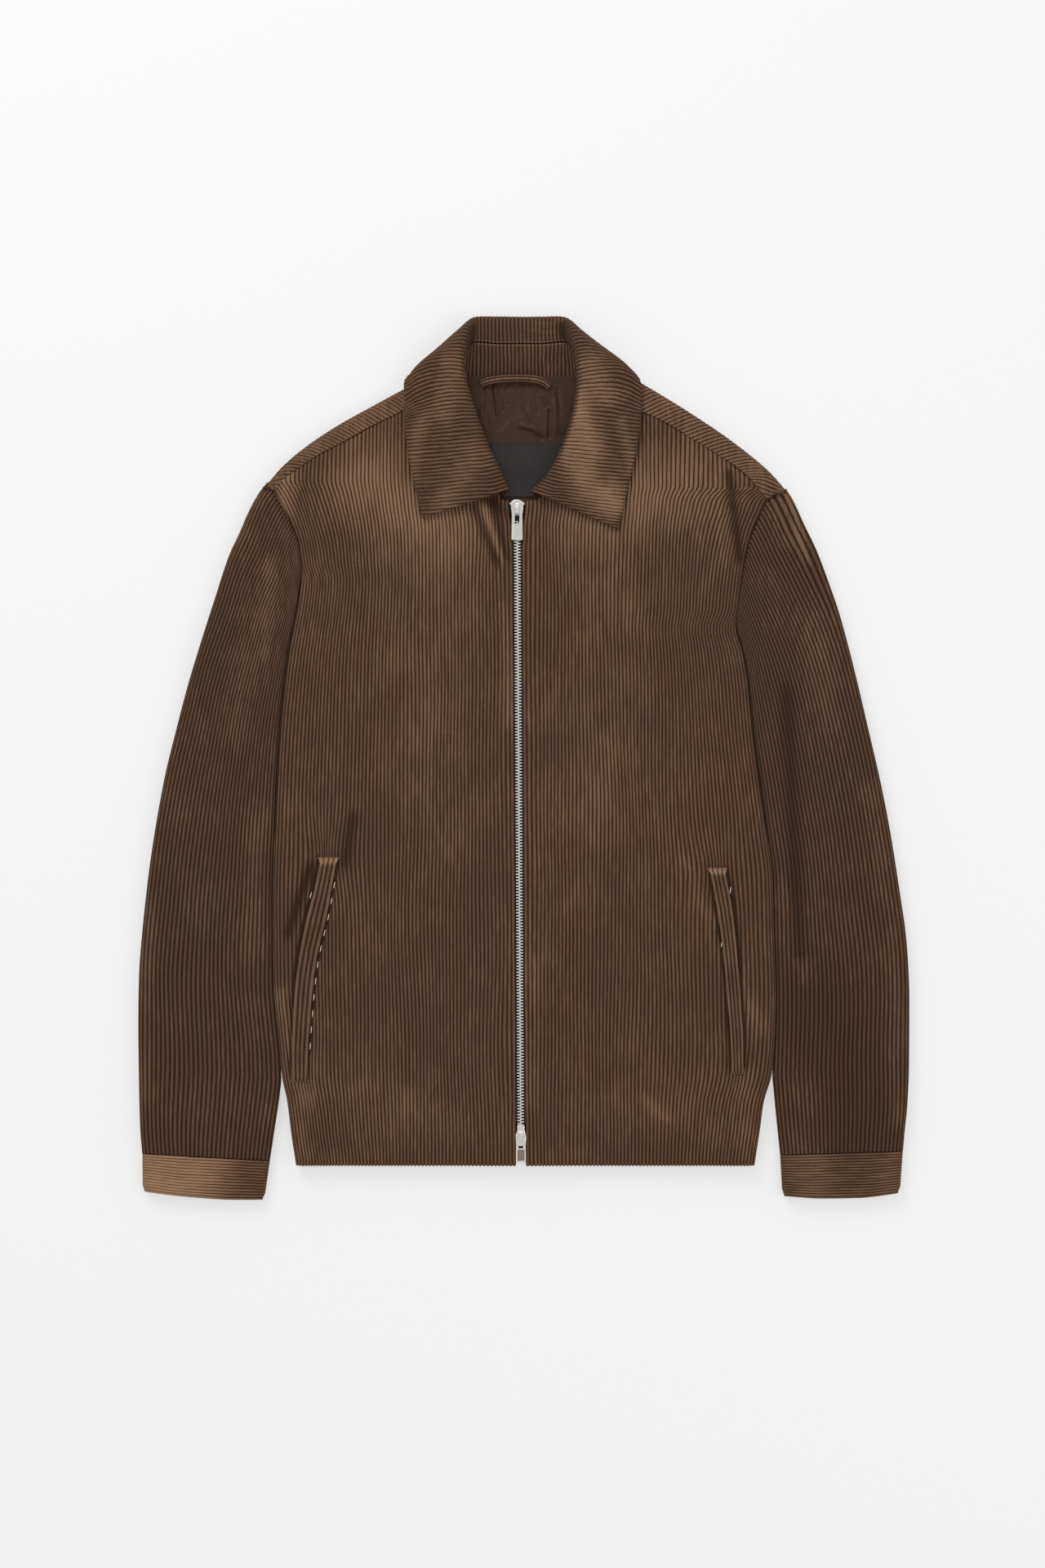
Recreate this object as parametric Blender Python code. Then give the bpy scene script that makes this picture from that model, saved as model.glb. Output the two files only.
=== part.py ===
"""A lined corduroy jacket with a two-way zip, lying flat on its back with both sleeves beside it.

The jacket lies on the plane z = 0 with its front up, its collar towards +Y and the wearer's right
sleeve towards -X. Lengths below are millimetres in the cutting frame: "out" is the distance from the
zip line, "up" is the distance above the hem, and "high" is the height above the surface it lies on.
The wearer's right is at negative x. Every cloth piece is a closed wall of its own thickness.
"""

import math

import bmesh
import bpy
import numpy as np
from mathutils import Matrix, Vector

MM = 0.001

# ---------------------------------------------------------------- driving dimensions, mm
CENTRE_OUT = 3.828  # the middle of the jacket's box, measured from the zip line
CENTRE_UP = 351.786  # and above the hem
BODY_THICK = 15.0  # both layers of the padded body, lying on each other
PADDED_WALL = 6.0  # corduroy, wadding and quilted lining sewn as one
EDGE_WALL = 3.2  # the front edge beside the zip, which has no wadding
SLEEVE_THICK = 14.0
SLEEVE_WALL = 5.6
CUFF_THICK = 11.6
CUFF_WALL = 4.2
COLLAR_WALL = 3.4
WELT_WALL = 1.8
LINING_WALL = 1.2
LABEL_WALL = 0.4
SEAM_GAP = 0.4  # between pieces sewn together
NECK_GAP = 1.7  # the stand leans out over the neck seam
LAY_GAP = 0.5  # between a piece and what it lies on
ZIP_LEAN = (1.4, -2.0)  # x of the zip line at the hem and at its top
ZIP_TOP = 574.0
SLOT_HALF = 5.5  # front edge to zip line
BACK_HEM_UP = 3.5  # the back hem lies a little above the front one
CHAIN_HALF = 2.8
CHAIN_THICK = 2.6
CHAIN_HIGH = 11.0  # middle of the chain
TAPE_WIDE = 13.0
TAPE_THICK = 1.0
SHOULDER_WRAP_ENDS = (66.0, 76.0)  # out: the back stops rolling over the shoulder here
BACK_NECK_SHARE = 0.3  # of the back's width from its middle, under the collar
BACK_NECK_RUN = 6.0
BACK_ROLL_ROWS = 7

FOLD_ANGLES = np.radians([0, 30, 60, 90])  # steps round a fold
# Places of a panel's rows from the hem to the top, closer round the armhole.
PANEL_ROWS = np.array(
    [0, 0.02, 0.06, 0.12, 0.2, 0.3, 0.4, 0.5, 0.6, 0.69, 0.76]
    + [0.795, 0.825, 0.85, 0.875, 0.9, 0.925, 0.948, 0.966, 0.982, 0.992, 1.0]
)
# The same for a sleeve, from the cuff to the armhole.
SLEEVE_ROWS = (0, 0.08, 0.14, 0.19, 0.24, 0.31, 0.42, 0.54, 0.66, 0.76, 0.84, 0.9, 0.94, 0.97, 1.0)

CORDUROY = (0.105, 0.056, 0.030)
CORDUROY_ROUGH = 0.95
NICKEL = (0.78, 0.77, 0.75)
NICKEL_ROUGH = 0.25

SIGN = {"right": -1.0, "left": 1.0}


def table(columns, *rows):
    """Each named column as an array, a row for each point."""
    return dict(zip(columns.split(), np.array(rows, float).T))


# Side of the body from the hem to the underarm, then the armhole to the tip of the shoulder.
BODY_EDGE = {
    "right": table(
        "up out",
        (0, 193), (25, 196.9), (57, 201), (75, 204.9), (118, 209.9), (161, 213.4), (231, 214.1),
        (301, 212), (372, 208.5), (442, 201), (482, 193.7), (503.5, 190.8), (520, 189.8),
        (536, 192), (556, 198.9), (570, 205.4), (581, 212), (590, 219),
    ),
    "left": table(
        "up out",
        (0, 203.3), (33, 208.3), (54, 211.2), (79, 218.3), (104, 221.1), (150, 222.5),
        (196, 221.1), (249, 219.7), (287, 215.1), (373, 203.5), (420, 199), (446, 194.4),
        (463, 189.6), (482, 190.6), (507, 193.7), (532, 198.2), (550, 203.5), (564, 209.6),
        (574.5, 214.7), (580, 222), (584.5, 231.5),
    ),
}
UNDERARM_UP = {"right": 503.5, "left": 463.0}

# Seam of the front to the part of the back that rolls forward over the shoulder.
SHOULDER_SEAM = {
    "right": table(
        "out up",
        (57.5, 673), (80, 661.5), (102, 650), (130.4, 636), (149.7, 625), (174, 612),
        (201.5, 593.5), (213.4, 583),
    ),
    "left": table(
        "out up",
        (60.5, 673.5), (84, 660), (104.6, 650), (117.6, 645), (133.7, 636), (166.1, 616),
        (190.4, 600), (204.9, 586), (214.7, 574.5),
    ),
}
# The fold where the back rolls over the shoulder.
SHOULDER_FOLD = {
    "right": table(
        "out up",
        (62, 688.5), (80, 680.5), (99.6, 671), (125.5, 657), (157.8, 639), (190, 617),
        (209, 600), (219, 590),
    ),
    "left": table(
        "out up",
        (62, 699), (80, 691), (101.4, 678.5), (117.6, 669), (149.9, 649), (182.3, 627),
        (214.6, 601), (225, 590.5), (231.5, 584.5),
    ),
}

SLEEVE_OUTER = {
    "right": table(
        "up out",
        (10.6, 326.3), (33, 328), (73.5, 329), (122, 329.6), (162, 329), (200, 326.3),
        (232, 323), (264, 319), (305, 312.5), (339, 306), (377.5, 296.5), (415, 286.7),
        (442, 278.6), (491, 263), (528, 250.7), (547, 242), (565, 234.5), (583, 225), (590, 219.6),
    ),
    "left": table(
        "up out",
        (12.7, 331.9), (30, 333.4), (51, 335.5), (87, 337), (145, 337.3), (173.5, 336.3),
        (202, 334), (231, 329.8), (287, 321), (330, 312.7), (373, 302.8), (419, 292),
        (449, 284.5), (477, 276.8), (504, 267.6), (532, 257), (555, 246.3), (578, 236),
        (584.5, 232),
    ),
}
# Where the sleeve hangs clear of the body, below the wedge between them.
SLEEVE_INNER = {
    "right": table("up out", (4.6, 215.5), (36, 210.7), (57, 207.5), (74, 205.5)),
    "left": table("up out", (9.6, 225.3), (51, 221), (76, 218.7)),
}
# Cuff corners: its seam to the sleeve, then its open end, each from inner to outer fold.
CUFF_SEAM = {
    "right": table("out up", (215.5, 4.2), (326.3, 10.2)),
    "left": table("out up", (225.3, 9.2), (331.9, 12.3)),
}
CUFF_END = {
    "right": table("out up", (220.4, -30), (244.6, -30), (286.7, -27.7), (326, -23)),
    "left": table("out up", (227.4, -27), (261, -29), (293.7, -28.5), (329.3, -24.4)),
}

WELT = {
    "right": table(
        "up inner outer",
        (73.6, 183, 195.8), (96.5, 182, 196.5), (128.5, 179.8, 195.4), (154.5, 177.5, 193.8),
        (182, 173.7, 190), (214, 166, 183.8), (238.5, 161.5, 177.2), (264, 157, 172),
    ),
    "left": table(
        "up inner outer",
        (79.6, 183, 193.8), (112, 181.5, 193.2), (142, 179.2, 191.3), (168, 176.9, 189.3),
        (196, 173.9, 187), (222, 170, 184), (255, 163.9, 177.7),
    ),
}

# The collar, a row for each section from its front end to the middle of the back. The points are
# the middle of the cloth: the neck seam, the rise inside the neck, the crest of the roll, the turn
# of the leaf, its drape, and its outer edge, each as (out, up, high).
COLLAR_POINTS = "seam rise crest turn drape edge"
COLLAR_SECTIONS = {
    "right": (
        ((13.5, 576.5, 12.6), (9.5, 582, 17), (9.5, 582.5, 25.5),
         (26, 577, 25), (56, 567.5, 18.8), (84, 558.5, 18)),
        ((26, 600, 12.6), (17, 600, 18), (17, 600, 30),
         (33, 597, 30), (64, 588, 19.2), (88.5, 577, 18)),
        ((36.5, 621, 12.6), (26, 619, 19), (26, 619, 32),
         (44, 618, 31.5), (74, 612, 19.6), (94.5, 606, 18)),
        ((46, 643, 12.6), (35, 642, 20), (35, 642, 33),
         (53, 643, 32), (81, 640, 20), (98.8, 634.5, 18)),
        ((52.5, 661, 12.6), (42.5, 665, 20), (42.5, 665, 34),
         (60, 667, 32), (84, 664, 20.5), (99.3, 653, 17.8)),
        ((56, 669, 12.6), (46, 678, 20), (46, 679, 34),
         (64, 681, 32), (87, 678, 21), (99.5, 667, 17.3)),
        ((57, 675, 12.4), (47, 691, 20), (47, 693, 33),
         (66, 695, 31), (90, 690, 18), (96.5, 678.5, 9.5)),
        ((54, 679.5, 10), (46, 708, 19), (46, 710, 31),
         (60, 709, 28), (80, 700, 7), (76, 690, 2.4)),
        ((47, 680.2, 6.5), (42, 721, 16.5), (42.5, 725, 25),
         (50, 722, 21), (59, 715.5, 1.8), (55, 697, 1.8)),
        ((37, 680.2, 5.2), (37, 726.5, 14.5), (37, 731.5, 16),
         (40, 732.2, 3), (42, 722, 1.8), (39, 688, 1.8)),
        ((20, 680.2, 5), (20, 724, 13.5), (20, 732.66, 12.5),
         (20, 732.66, 1.8), (20, 712, 1.8), (20, 687, 1.8)),
    ),
    "left": (
        ((13, 576, 12.6), (9.5, 580.5, 17), (9.5, 581, 25.5),
         (27, 575, 25), (57, 561, 18.8), (85.5, 548.8, 18)),
        ((31, 594, 12.6), (22.5, 593, 18), (22.5, 593, 30),
         (40, 590, 30), (69, 577, 19.2), (90, 568, 18)),
        ((42.5, 611, 12.6), (32, 609, 19), (32, 609, 32),
         (50, 608, 31.5), (78, 598, 19.6), (96, 593, 18)),
        ((50, 629, 12.6), (39.5, 628, 20), (39.5, 628, 33),
         (58, 629, 32), (84, 623, 20), (101.5, 618, 18)),
        ((55, 648, 12.6), (45.5, 647, 20), (45.5, 647, 34),
         (63, 650, 32.5), (88, 647, 20.5), (104.7, 642, 17.8)),
        ((58.5, 664, 12.6), (49, 665, 20), (49, 665, 34),
         (66, 668, 32), (91, 668, 21), (105.2, 659, 17.5)),
        ((60, 675, 12.4), (49.5, 681, 20), (49.5, 683, 33),
         (68, 686, 31.5), (95, 688, 20), (103.5, 676, 15.8)),
        ((56, 679.5, 10), (48, 704, 19), (48, 706, 31),
         (63, 706, 28), (84, 700, 9), (85, 693, 5)),
        ((48, 680.2, 6.5), (42.5, 721, 16.5), (43, 724, 25),
         (51, 721.5, 21), (60, 715.5, 1.8), (57, 701, 1.8)),
        ((37, 680.2, 5.2), (37, 726.5, 14.5), (37, 731.5, 16),
         (40, 732.2, 3), (42, 722, 1.8), (39, 688, 1.8)),
        ((20, 680.2, 5), (20, 724, 13.5), (20, 732.66, 12.5),
         (20, 732.66, 1.8), (20, 712, 1.8), (20, 687, 1.8)),
    ),
}
COLLAR_MIDDLE = (
    (0, 680.2, 5), (0, 724, 13.5), (0, 732.66, 12.5),
    (0, 732.66, 1.8), (0, 712, 1.8), (0, 687, 1.8),
)
STAND_SHARE = 0.1  # of the way round a section, where the fall is sewn to the stand
STAND_GAP_SHARE = 0.0055

# Broad soft creases of the front, as ridges (or, below zero, troughs) along a line: x and up of both
# ends, half the width, and the height.
CREASES = table(
    "x0 up0 x1 up1 half_wide high",
    (-38, 572, -12, 512, 9, 1.1),
    (-34, 490, -16, 448, 9, 0.9),
    (186, 600, 184, 520, 9, -1.3),
    (172, 590, 173, 530, 9, 0.7),
    (-203, 596, -206, 556, 9, 0.8),
    (-100, 420, -60, 250, 40, 0.6),
    (120, 380, 90, 200, 42, 0.6),
    (-130, 160, -90, 40, 36, 0.5),
    (140, 150, 110, 30, 36, 0.5),
)

LINING_HALF = 62.0
LINING_UP = (540.0, 678.6)
LABEL = {"x": (-25.0, 37.0), "up": (577.0, 624.0)}
HANGER = table(
    "x up high",
    (-33, 675.3, 9.6), (-28, 677.1, 11.6), (-17, 679, 13), (0, 679.7, 13.4), (13, 678.8, 13), (21.5, 676.2, 11.6),
    (26, 672.7, 9.6),
)
HANGER_HALF_WIDE = 3.4
HANGER_HALF_THICK = 1.5

SLIDER_TOP_UP = 569.5  # the hinge of the upper pull tab
SLIDER_BOTTOM_UP = 24.5  # and of the lower one
HINGE_HIGH = 15.0
TAB_THICK = 1.5
TAB_LONG = {"top": 29.6, "bottom": 21.0}
# Half of each slider's outline, from its top round to its foot: out from the zip line, and up.
SLIDER_HALF = {
    "top": (
        (0, 575.0), (2.2, 574.8), (4.4, 573.7), (6.6, 571.9), (6.7, 571.2), (5.4, 570.2), (5.2, 567),
        (4.5, 561.5), (3.6, 557.5), (3.0, 556.6), (0, 556.6),
    ),
    "bottom": (
        (0, 35.4), (2.6, 35.2), (3.2, 34.4), (3.2, 33), (3.0, 32.2), (3.9, 28.2), (4.7, 27.4), (4.8, 26),
        (4.5, 24), (4.3, 19), (3.2, 17.6), (0, 17.2),
    ),
}
HINGE_UP = {"top": SLIDER_TOP_UP, "bottom": SLIDER_BOTTOM_UP}
# How far the bridge reaches above and below the hinge.
BRIDGE_REACH = {"top": (3.6, -16.0), "bottom": (6.6, -3.2)}


# ---------------------------------------------------------------- curves
def smoothstep(low, high, value):
    share = np.clip((np.asarray(value, float) - low) / (high - low), 0.0, 1.0)
    return share * share * (3.0 - 2.0 * share)


def smooth_curve(knots, values, at):
    """A smooth curve through the values that never swings past them."""
    knots, values, at = (np.asarray(a, float) for a in (knots, values, at))
    step = np.diff(knots)
    slope = np.diff(values) / step
    tangent = np.empty_like(values)
    tangent[0], tangent[-1] = slope[0], slope[-1]
    before, after = slope[:-1], slope[1:]
    weight_a, weight_b = 2 * step[1:] + step[:-1], step[1:] + 2 * step[:-1]
    same_way = before * after > 0
    safe_before, safe_after = np.where(same_way, before, 1.0), np.where(same_way, after, 1.0)
    mean = (weight_a + weight_b) / (weight_a / safe_before + weight_b / safe_after)
    tangent[1:-1] = np.where(same_way, mean, 0.0)
    at = np.clip(at, knots[0], knots[-1])
    i = np.clip(np.searchsorted(knots, at, side="right") - 1, 0, len(step) - 1)
    t = (at - knots[i]) / step[i]
    return (
        values[i] * (1 + 2 * t) * (1 - t) ** 2
        + tangent[i] * step[i] * t * (1 - t) ** 2
        + values[i + 1] * t * t * (3 - 2 * t)
        + tangent[i + 1] * step[i] * t * t * (t - 1)
    )


def through_points(points, count_between):
    """A Catmull-Rom curve through the points, with so many steps between each pair."""
    points = np.asarray(points, float)
    padded = np.concatenate([2 * points[:1] - points[1:2], points, 2 * points[-1:] - points[-2:-1]])
    found = []
    for i in range(1, len(padded) - 2):
        for step in range(count_between):
            t = step / count_between
            a, b, c, d = padded[i - 1 : i + 3]
            found.append(
                0.5 * (2 * b + (c - a) * t)
                + 0.5 * ((2 * a - 5 * b + 4 * c - d) * t**2 + (3 * b - a - 3 * c + d) * t**3)
            )
    return np.array(found + [points[-1]])


def blend_weights(count, at):
    """Weights of a clamped cubic B-spline's control points at each place along it."""
    degree = 3
    knots = np.concatenate([np.zeros(degree), np.linspace(0, 1, count - degree + 1), np.ones(degree)])
    at = np.clip(np.asarray(at, float), 0.0, 1.0 - 1e-9)
    basis = [(at >= knots[i]) & (at < knots[i + 1]) for i in range(len(knots) - 1)]
    basis = [b.astype(float) for b in basis]
    for d in range(1, degree + 1):
        following = []
        for i in range(len(basis) - 1):
            rise, fall = knots[i + d] - knots[i], knots[i + d + 1] - knots[i + 1]
            left = (at - knots[i]) / rise * basis[i] if rise > 0 else 0.0
            right = (knots[i + d + 1] - at) / fall * basis[i + 1] if fall > 0 else 0.0
            following.append(left + right)
        basis = following
    return np.stack(basis, axis=-1)


# ---------------------------------------------------------------- the garment's lines
def zip_x(up):
    return ZIP_LEAN[0] + (ZIP_LEAN[1] - ZIP_LEAN[0]) * np.asarray(up, float) / ZIP_TOP


def front_edge_x(side, up):
    """The fold beside the zip, which opens a little round the upper slider."""
    return zip_x(up) + SIGN[side] * (SLOT_HALF + 2.2 * smoothstep(550, 570, up))


def body_edge_x(side, up):
    edge = BODY_EDGE[side]
    return SIGN[side] * smooth_curve(edge["up"], edge["out"], up)


def sleeve_inner_x(side, up):
    free = SLEEVE_INNER[side]
    clear = smooth_curve(free["up"], free["out"], up)
    beside = abs(body_edge_x(side, up)) + 2 * SEAM_GAP
    return SIGN[side] * np.where(up < free["up"][-1], np.maximum(clear, beside), beside)


def neckline(side):
    """(out, up) of the front's neck seam, from the zip to the shoulder."""
    seams = [(section[0][0], section[0][1]) for section in COLLAR_SECTIONS[side][:7]]
    return np.array([(out + NECK_GAP * 0.8, up - NECK_GAP * 0.75) for out, up in seams])


def front_top_up(side, x):
    """How high the front reaches: the neckline near the zip, then the shoulder seam."""
    out = SIGN[side] * np.asarray(x, float)
    neck, seam = neckline(side), SHOULDER_SEAM[side]
    start = (0.0, ZIP_TOP - 1.0)
    neck = np.vstack([start, neck])
    on_neck = np.interp(out, neck[:, 0], neck[:, 1])
    on_shoulder = smooth_curve(seam["out"], seam["up"], out) - SEAM_GAP
    return np.minimum(on_neck, on_shoulder) if np.ndim(out) else float(min(on_neck, on_shoulder))


def crease_height(x, up):
    total = np.zeros(np.shape(x))
    for x0, up0, x1, up1, half_wide, high in zip(*CREASES.values()):
        along = np.array([x1 - x0, up1 - up0])
        length = np.hypot(*along)
        share = ((x - x0) * along[0] + (up - up0) * along[1]) / length**2
        inside = np.clip(share, 0.0, 1.0)
        away = np.hypot(x - x0 - inside * along[0], up - up0 - inside * along[1])
        total = total + high * np.exp(-((away / half_wide) ** 2))
    return total


def edge_rounding(side, x, up):
    """How far the front's fold beside the zip rounds down."""
    from_zip = SIGN[side] * (np.asarray(x, float) - front_edge_x(side, up))
    return 1.2 * (1 - smoothstep(0, 5, from_zip)) ** 2


def front_high(side, x, up):
    """Height of the front's outer surface away from its side fold."""
    from_zip = SIGN[side] * (np.asarray(x, float) - front_edge_x(side, up))
    from_side = abs(body_edge_x(side, up)) - abs(np.asarray(x, float))
    # Away from the zip and the side the hem lies down on the back.
    settled = 1.6 * (1 - smoothstep(0, 34, up)) * smoothstep(15, 50, from_zip) * smoothstep(9, 40, from_side)
    return BODY_THICK - settled - edge_rounding(side, x, up) + crease_height(x, up)


def wall_at(side, x, up):
    """The front loses its wadding towards the zip."""
    from_zip = SIGN[side] * (np.asarray(x, float) - front_edge_x(side, up))
    padding = (PADDED_WALL - EDGE_WALL) * smoothstep(14, 40, from_zip)
    return EDGE_WALL + padding - edge_rounding(side, x, up)


def underarm_share(side, up):
    """1 where the side is a fold, falling to 0 where the sleeve is sewn in."""
    start = UNDERARM_UP[side]
    return 1.0 - smoothstep(start - 4, start + 18, up)


# ---------------------------------------------------------------- meshes
def slopes(grid, axis, closed):
    """The direction of a grid of points along one axis, true to the second order where steps differ."""
    grid = np.moveaxis(grid, axis, 0)
    if closed:
        grid = np.concatenate([grid[-1:], grid, grid[:1]])
    step = np.diff(grid, axis=0)
    long = np.maximum(np.linalg.norm(step, axis=2, keepdims=True), 1e-6)
    rate = step / long
    before, after = long[:-1], long[1:]
    inner = (rate[:-1] * after + rate[1:] * before) / (before + after)
    if not closed:
        first = rate[:1] + (rate[:1] - rate[1:2]) * long[:1] / (long[:1] + long[1:2])
        last = rate[-1:] + (rate[-1:] - rate[-2:-1]) * long[-1:] / (long[-1:] + long[-2:-1])
        inner = np.concatenate([first, inner, last])
    return np.moveaxis(inner, 0, axis)


def grid_normals(grid, closed):
    """Normals of a grid of points, which may close on itself across."""
    normal = np.cross(slopes(grid, 1, closed), slopes(grid, 0, False))
    return normal / np.maximum(np.linalg.norm(normal, axis=2, keepdims=True), 1e-9)


def square_rim(normal, outer, side, columns):
    """Square a body panel's rim, its first column here: level at the side seam, and upright along
    the armhole, where the columns beside it stand upright too."""
    for k, column in enumerate(columns):
        near, up = normal[:, column], outer[:, column, 1]
        share = underarm_share(side, up)[:, None]
        ahead = np.minimum(up + 0.5, BODY_EDGE[side]["up"][-1])
        lean = body_edge_x(side, ahead) - body_edge_x(side, ahead - 1.0)
        tangent = np.column_stack([lean, np.ones(len(lean))])
        tangent /= np.linalg.norm(tangent, axis=1, keepdims=True)
        upright = near.copy()
        upright[:, :2] = (near[:, :2] * tangent).sum(axis=1, keepdims=True) * tangent
        level = near * (1.0, 1.0, 0.0 if k == 0 else 1.0)
        mixed = share * level + (1 - share) * upright
        normal[:, column] = mixed / np.linalg.norm(mixed, axis=1, keepdims=True)


def wall_mesh(name, first, second, closed, material):
    """A closed wall between two grids of points, in the cutting frame and millimetres."""
    rows, cols = first.shape[:2]
    points = np.concatenate([first.reshape(-1, 3), second.reshape(-1, 3)])
    points = (points - (CENTRE_OUT, CENTRE_UP, 0.0)) * MM
    mesh = bmesh.new()
    verts = [mesh.verts.new(p) for p in points]
    half = rows * cols
    across = range(cols) if closed else range(cols - 1)
    for layer, turn in ((0, False), (half, True)):
        for i in range(rows - 1):
            for j in across:
                a = layer + i * cols + j
                b = layer + i * cols + (j + 1) % cols
                ring = [verts[a], verts[b], verts[b + cols], verts[a + cols]]
                mesh.faces.new(ring[::-1] if turn else ring)
    for i, turn in ((0, True), (rows - 1, False)):
        for j in across:
            a, b = i * cols + j, i * cols + (j + 1) % cols
            ring = [verts[a], verts[b], verts[b + half], verts[a + half]]
            mesh.faces.new(ring[::-1] if turn else ring)
    if not closed:
        for j, turn in ((0, False), (cols - 1, True)):
            for i in range(rows - 1):
                a, b = i * cols + j, (i + 1) * cols + j
                ring = [verts[a], verts[b], verts[b + half], verts[a + half]]
                mesh.faces.new(ring[::-1] if turn else ring)
    bmesh.ops.recalc_face_normals(mesh, faces=mesh.faces)
    return place(name, mesh, material)


def place(name, mesh, material):
    data = bpy.data.meshes.new(name)
    mesh.to_mesh(data)
    mesh.free()
    data.materials.append(material)
    data.shade_smooth()
    data.set_sharp_from_angle(angle=math.radians(40))
    thing = bpy.data.objects.new(name, data)
    bpy.context.scene.collection.objects.link(thing)
    return thing


def move_origin(thing, at):
    """Put a piece's own origin at a point of the cutting frame, and leave its shape where it is."""
    origin = Vector((at[0] - CENTRE_OUT, at[1] - CENTRE_UP, at[2])) * MM
    thing.data.transform(Matrix.Translation(-origin))
    thing.location = origin


def finish(name, colour, roughness, metallic=0.0):
    """A plain Principled material."""
    made = bpy.data.materials.new(name)
    made.use_nodes = True
    shader = made.node_tree.nodes["Principled BSDF"]
    shader.inputs["Base Color"].default_value = (*colour, 1.0)
    shader.inputs["Roughness"].default_value = roughness
    shader.inputs["Metallic"].default_value = metallic
    return made


# ---------------------------------------------------------------- body


def flat_end_x(side, up):
    """Where a body panel starts to turn down or up round its side."""
    most = np.radians(14 + 76 * underarm_share(side, up))
    return body_edge_x(side, up) - SIGN[side] * BODY_THICK / 2 * np.sin(most)


def side_fold(side, up, flat_high, joined_high):
    """Points round a side fold: rows of (x, height) from the flat of the panel to its edge."""
    share = underarm_share(side, up)
    most = np.radians(14 + 76 * share)
    radius = BODY_THICK / 2
    edge = body_edge_x(side, up)
    start = edge - SIGN[side] * radius * np.sin(most)
    angles = most[:, None] * (FOLD_ANGLES / FOLD_ANGLES[-1])[None, :]
    x = start[:, None] + SIGN[side] * radius * np.sin(angles)
    drop = (flat_high - joined_high)[:, None] * (1 - np.cos(angles))
    return x, drop


def wale_x(start, end, side, share):
    """A thread line of a panel: straight near the middle, and bending with the side edge beside it."""
    reference = SIGN[side] * 200.0
    straight = start + (reference - start) * share
    return straight + (end - reference) * share**3


def front(side, material):
    rows = len(PANEL_ROWS)
    # The threads stand closer together under the neckline.
    under_neck = (0, 0.012, 0.035, 0.075, 0.13, 0.185, 0.225, 0.252, 0.275)
    shares = np.concatenate([under_neck, np.linspace(0.37, 1, 7)])
    along = PANEL_ROWS
    outer = np.zeros((rows, len(shares) + len(FOLD_ANGLES) - 1, 3))

    def column_x(share, up):
        return wale_x(front_edge_x(side, up), flat_end_x(side, up), side, share)

    tops = []
    for share in shares:
        low, high = 450.0, 700.0
        for _ in range(40):
            middle = (low + high) / 2
            if middle < front_top_up(side, column_x(share, middle)):
                low = middle
            else:
                high = middle
        tops.append(low)
    tops[-1] = SHOULDER_SEAM[side]["up"][-1] - SEAM_GAP
    for j, share in enumerate(shares):
        up = tops[j] * along
        x = column_x(share, up)
        outer[:, j] = np.stack([x, up, front_high(side, x, up)], axis=1)
    for k in range(1, len(FOLD_ANGLES)):
        up = tops[-1] * along
        flat_x = flat_end_x(side, up)
        flat_high = front_high(side, flat_x, up)
        x, drop = side_fold(side, up, flat_high, np.full(rows, (BODY_THICK + SEAM_GAP) / 2))
        outer[:, len(shares) - 1 + k] = np.stack([x[:, k], up, flat_high - drop[:, k]], axis=1)
    normal = grid_normals(outer, closed=False)
    normal *= np.sign(normal[rows // 2, len(shares) // 2, 2])
    square_rim(normal, outer, side, (-1,))
    wall = wall_at(side, outer[..., 0], outer[..., 1])[..., None]
    return wall_mesh(f"front_{side}", outer, outer - normal * wall, False, material)


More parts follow.
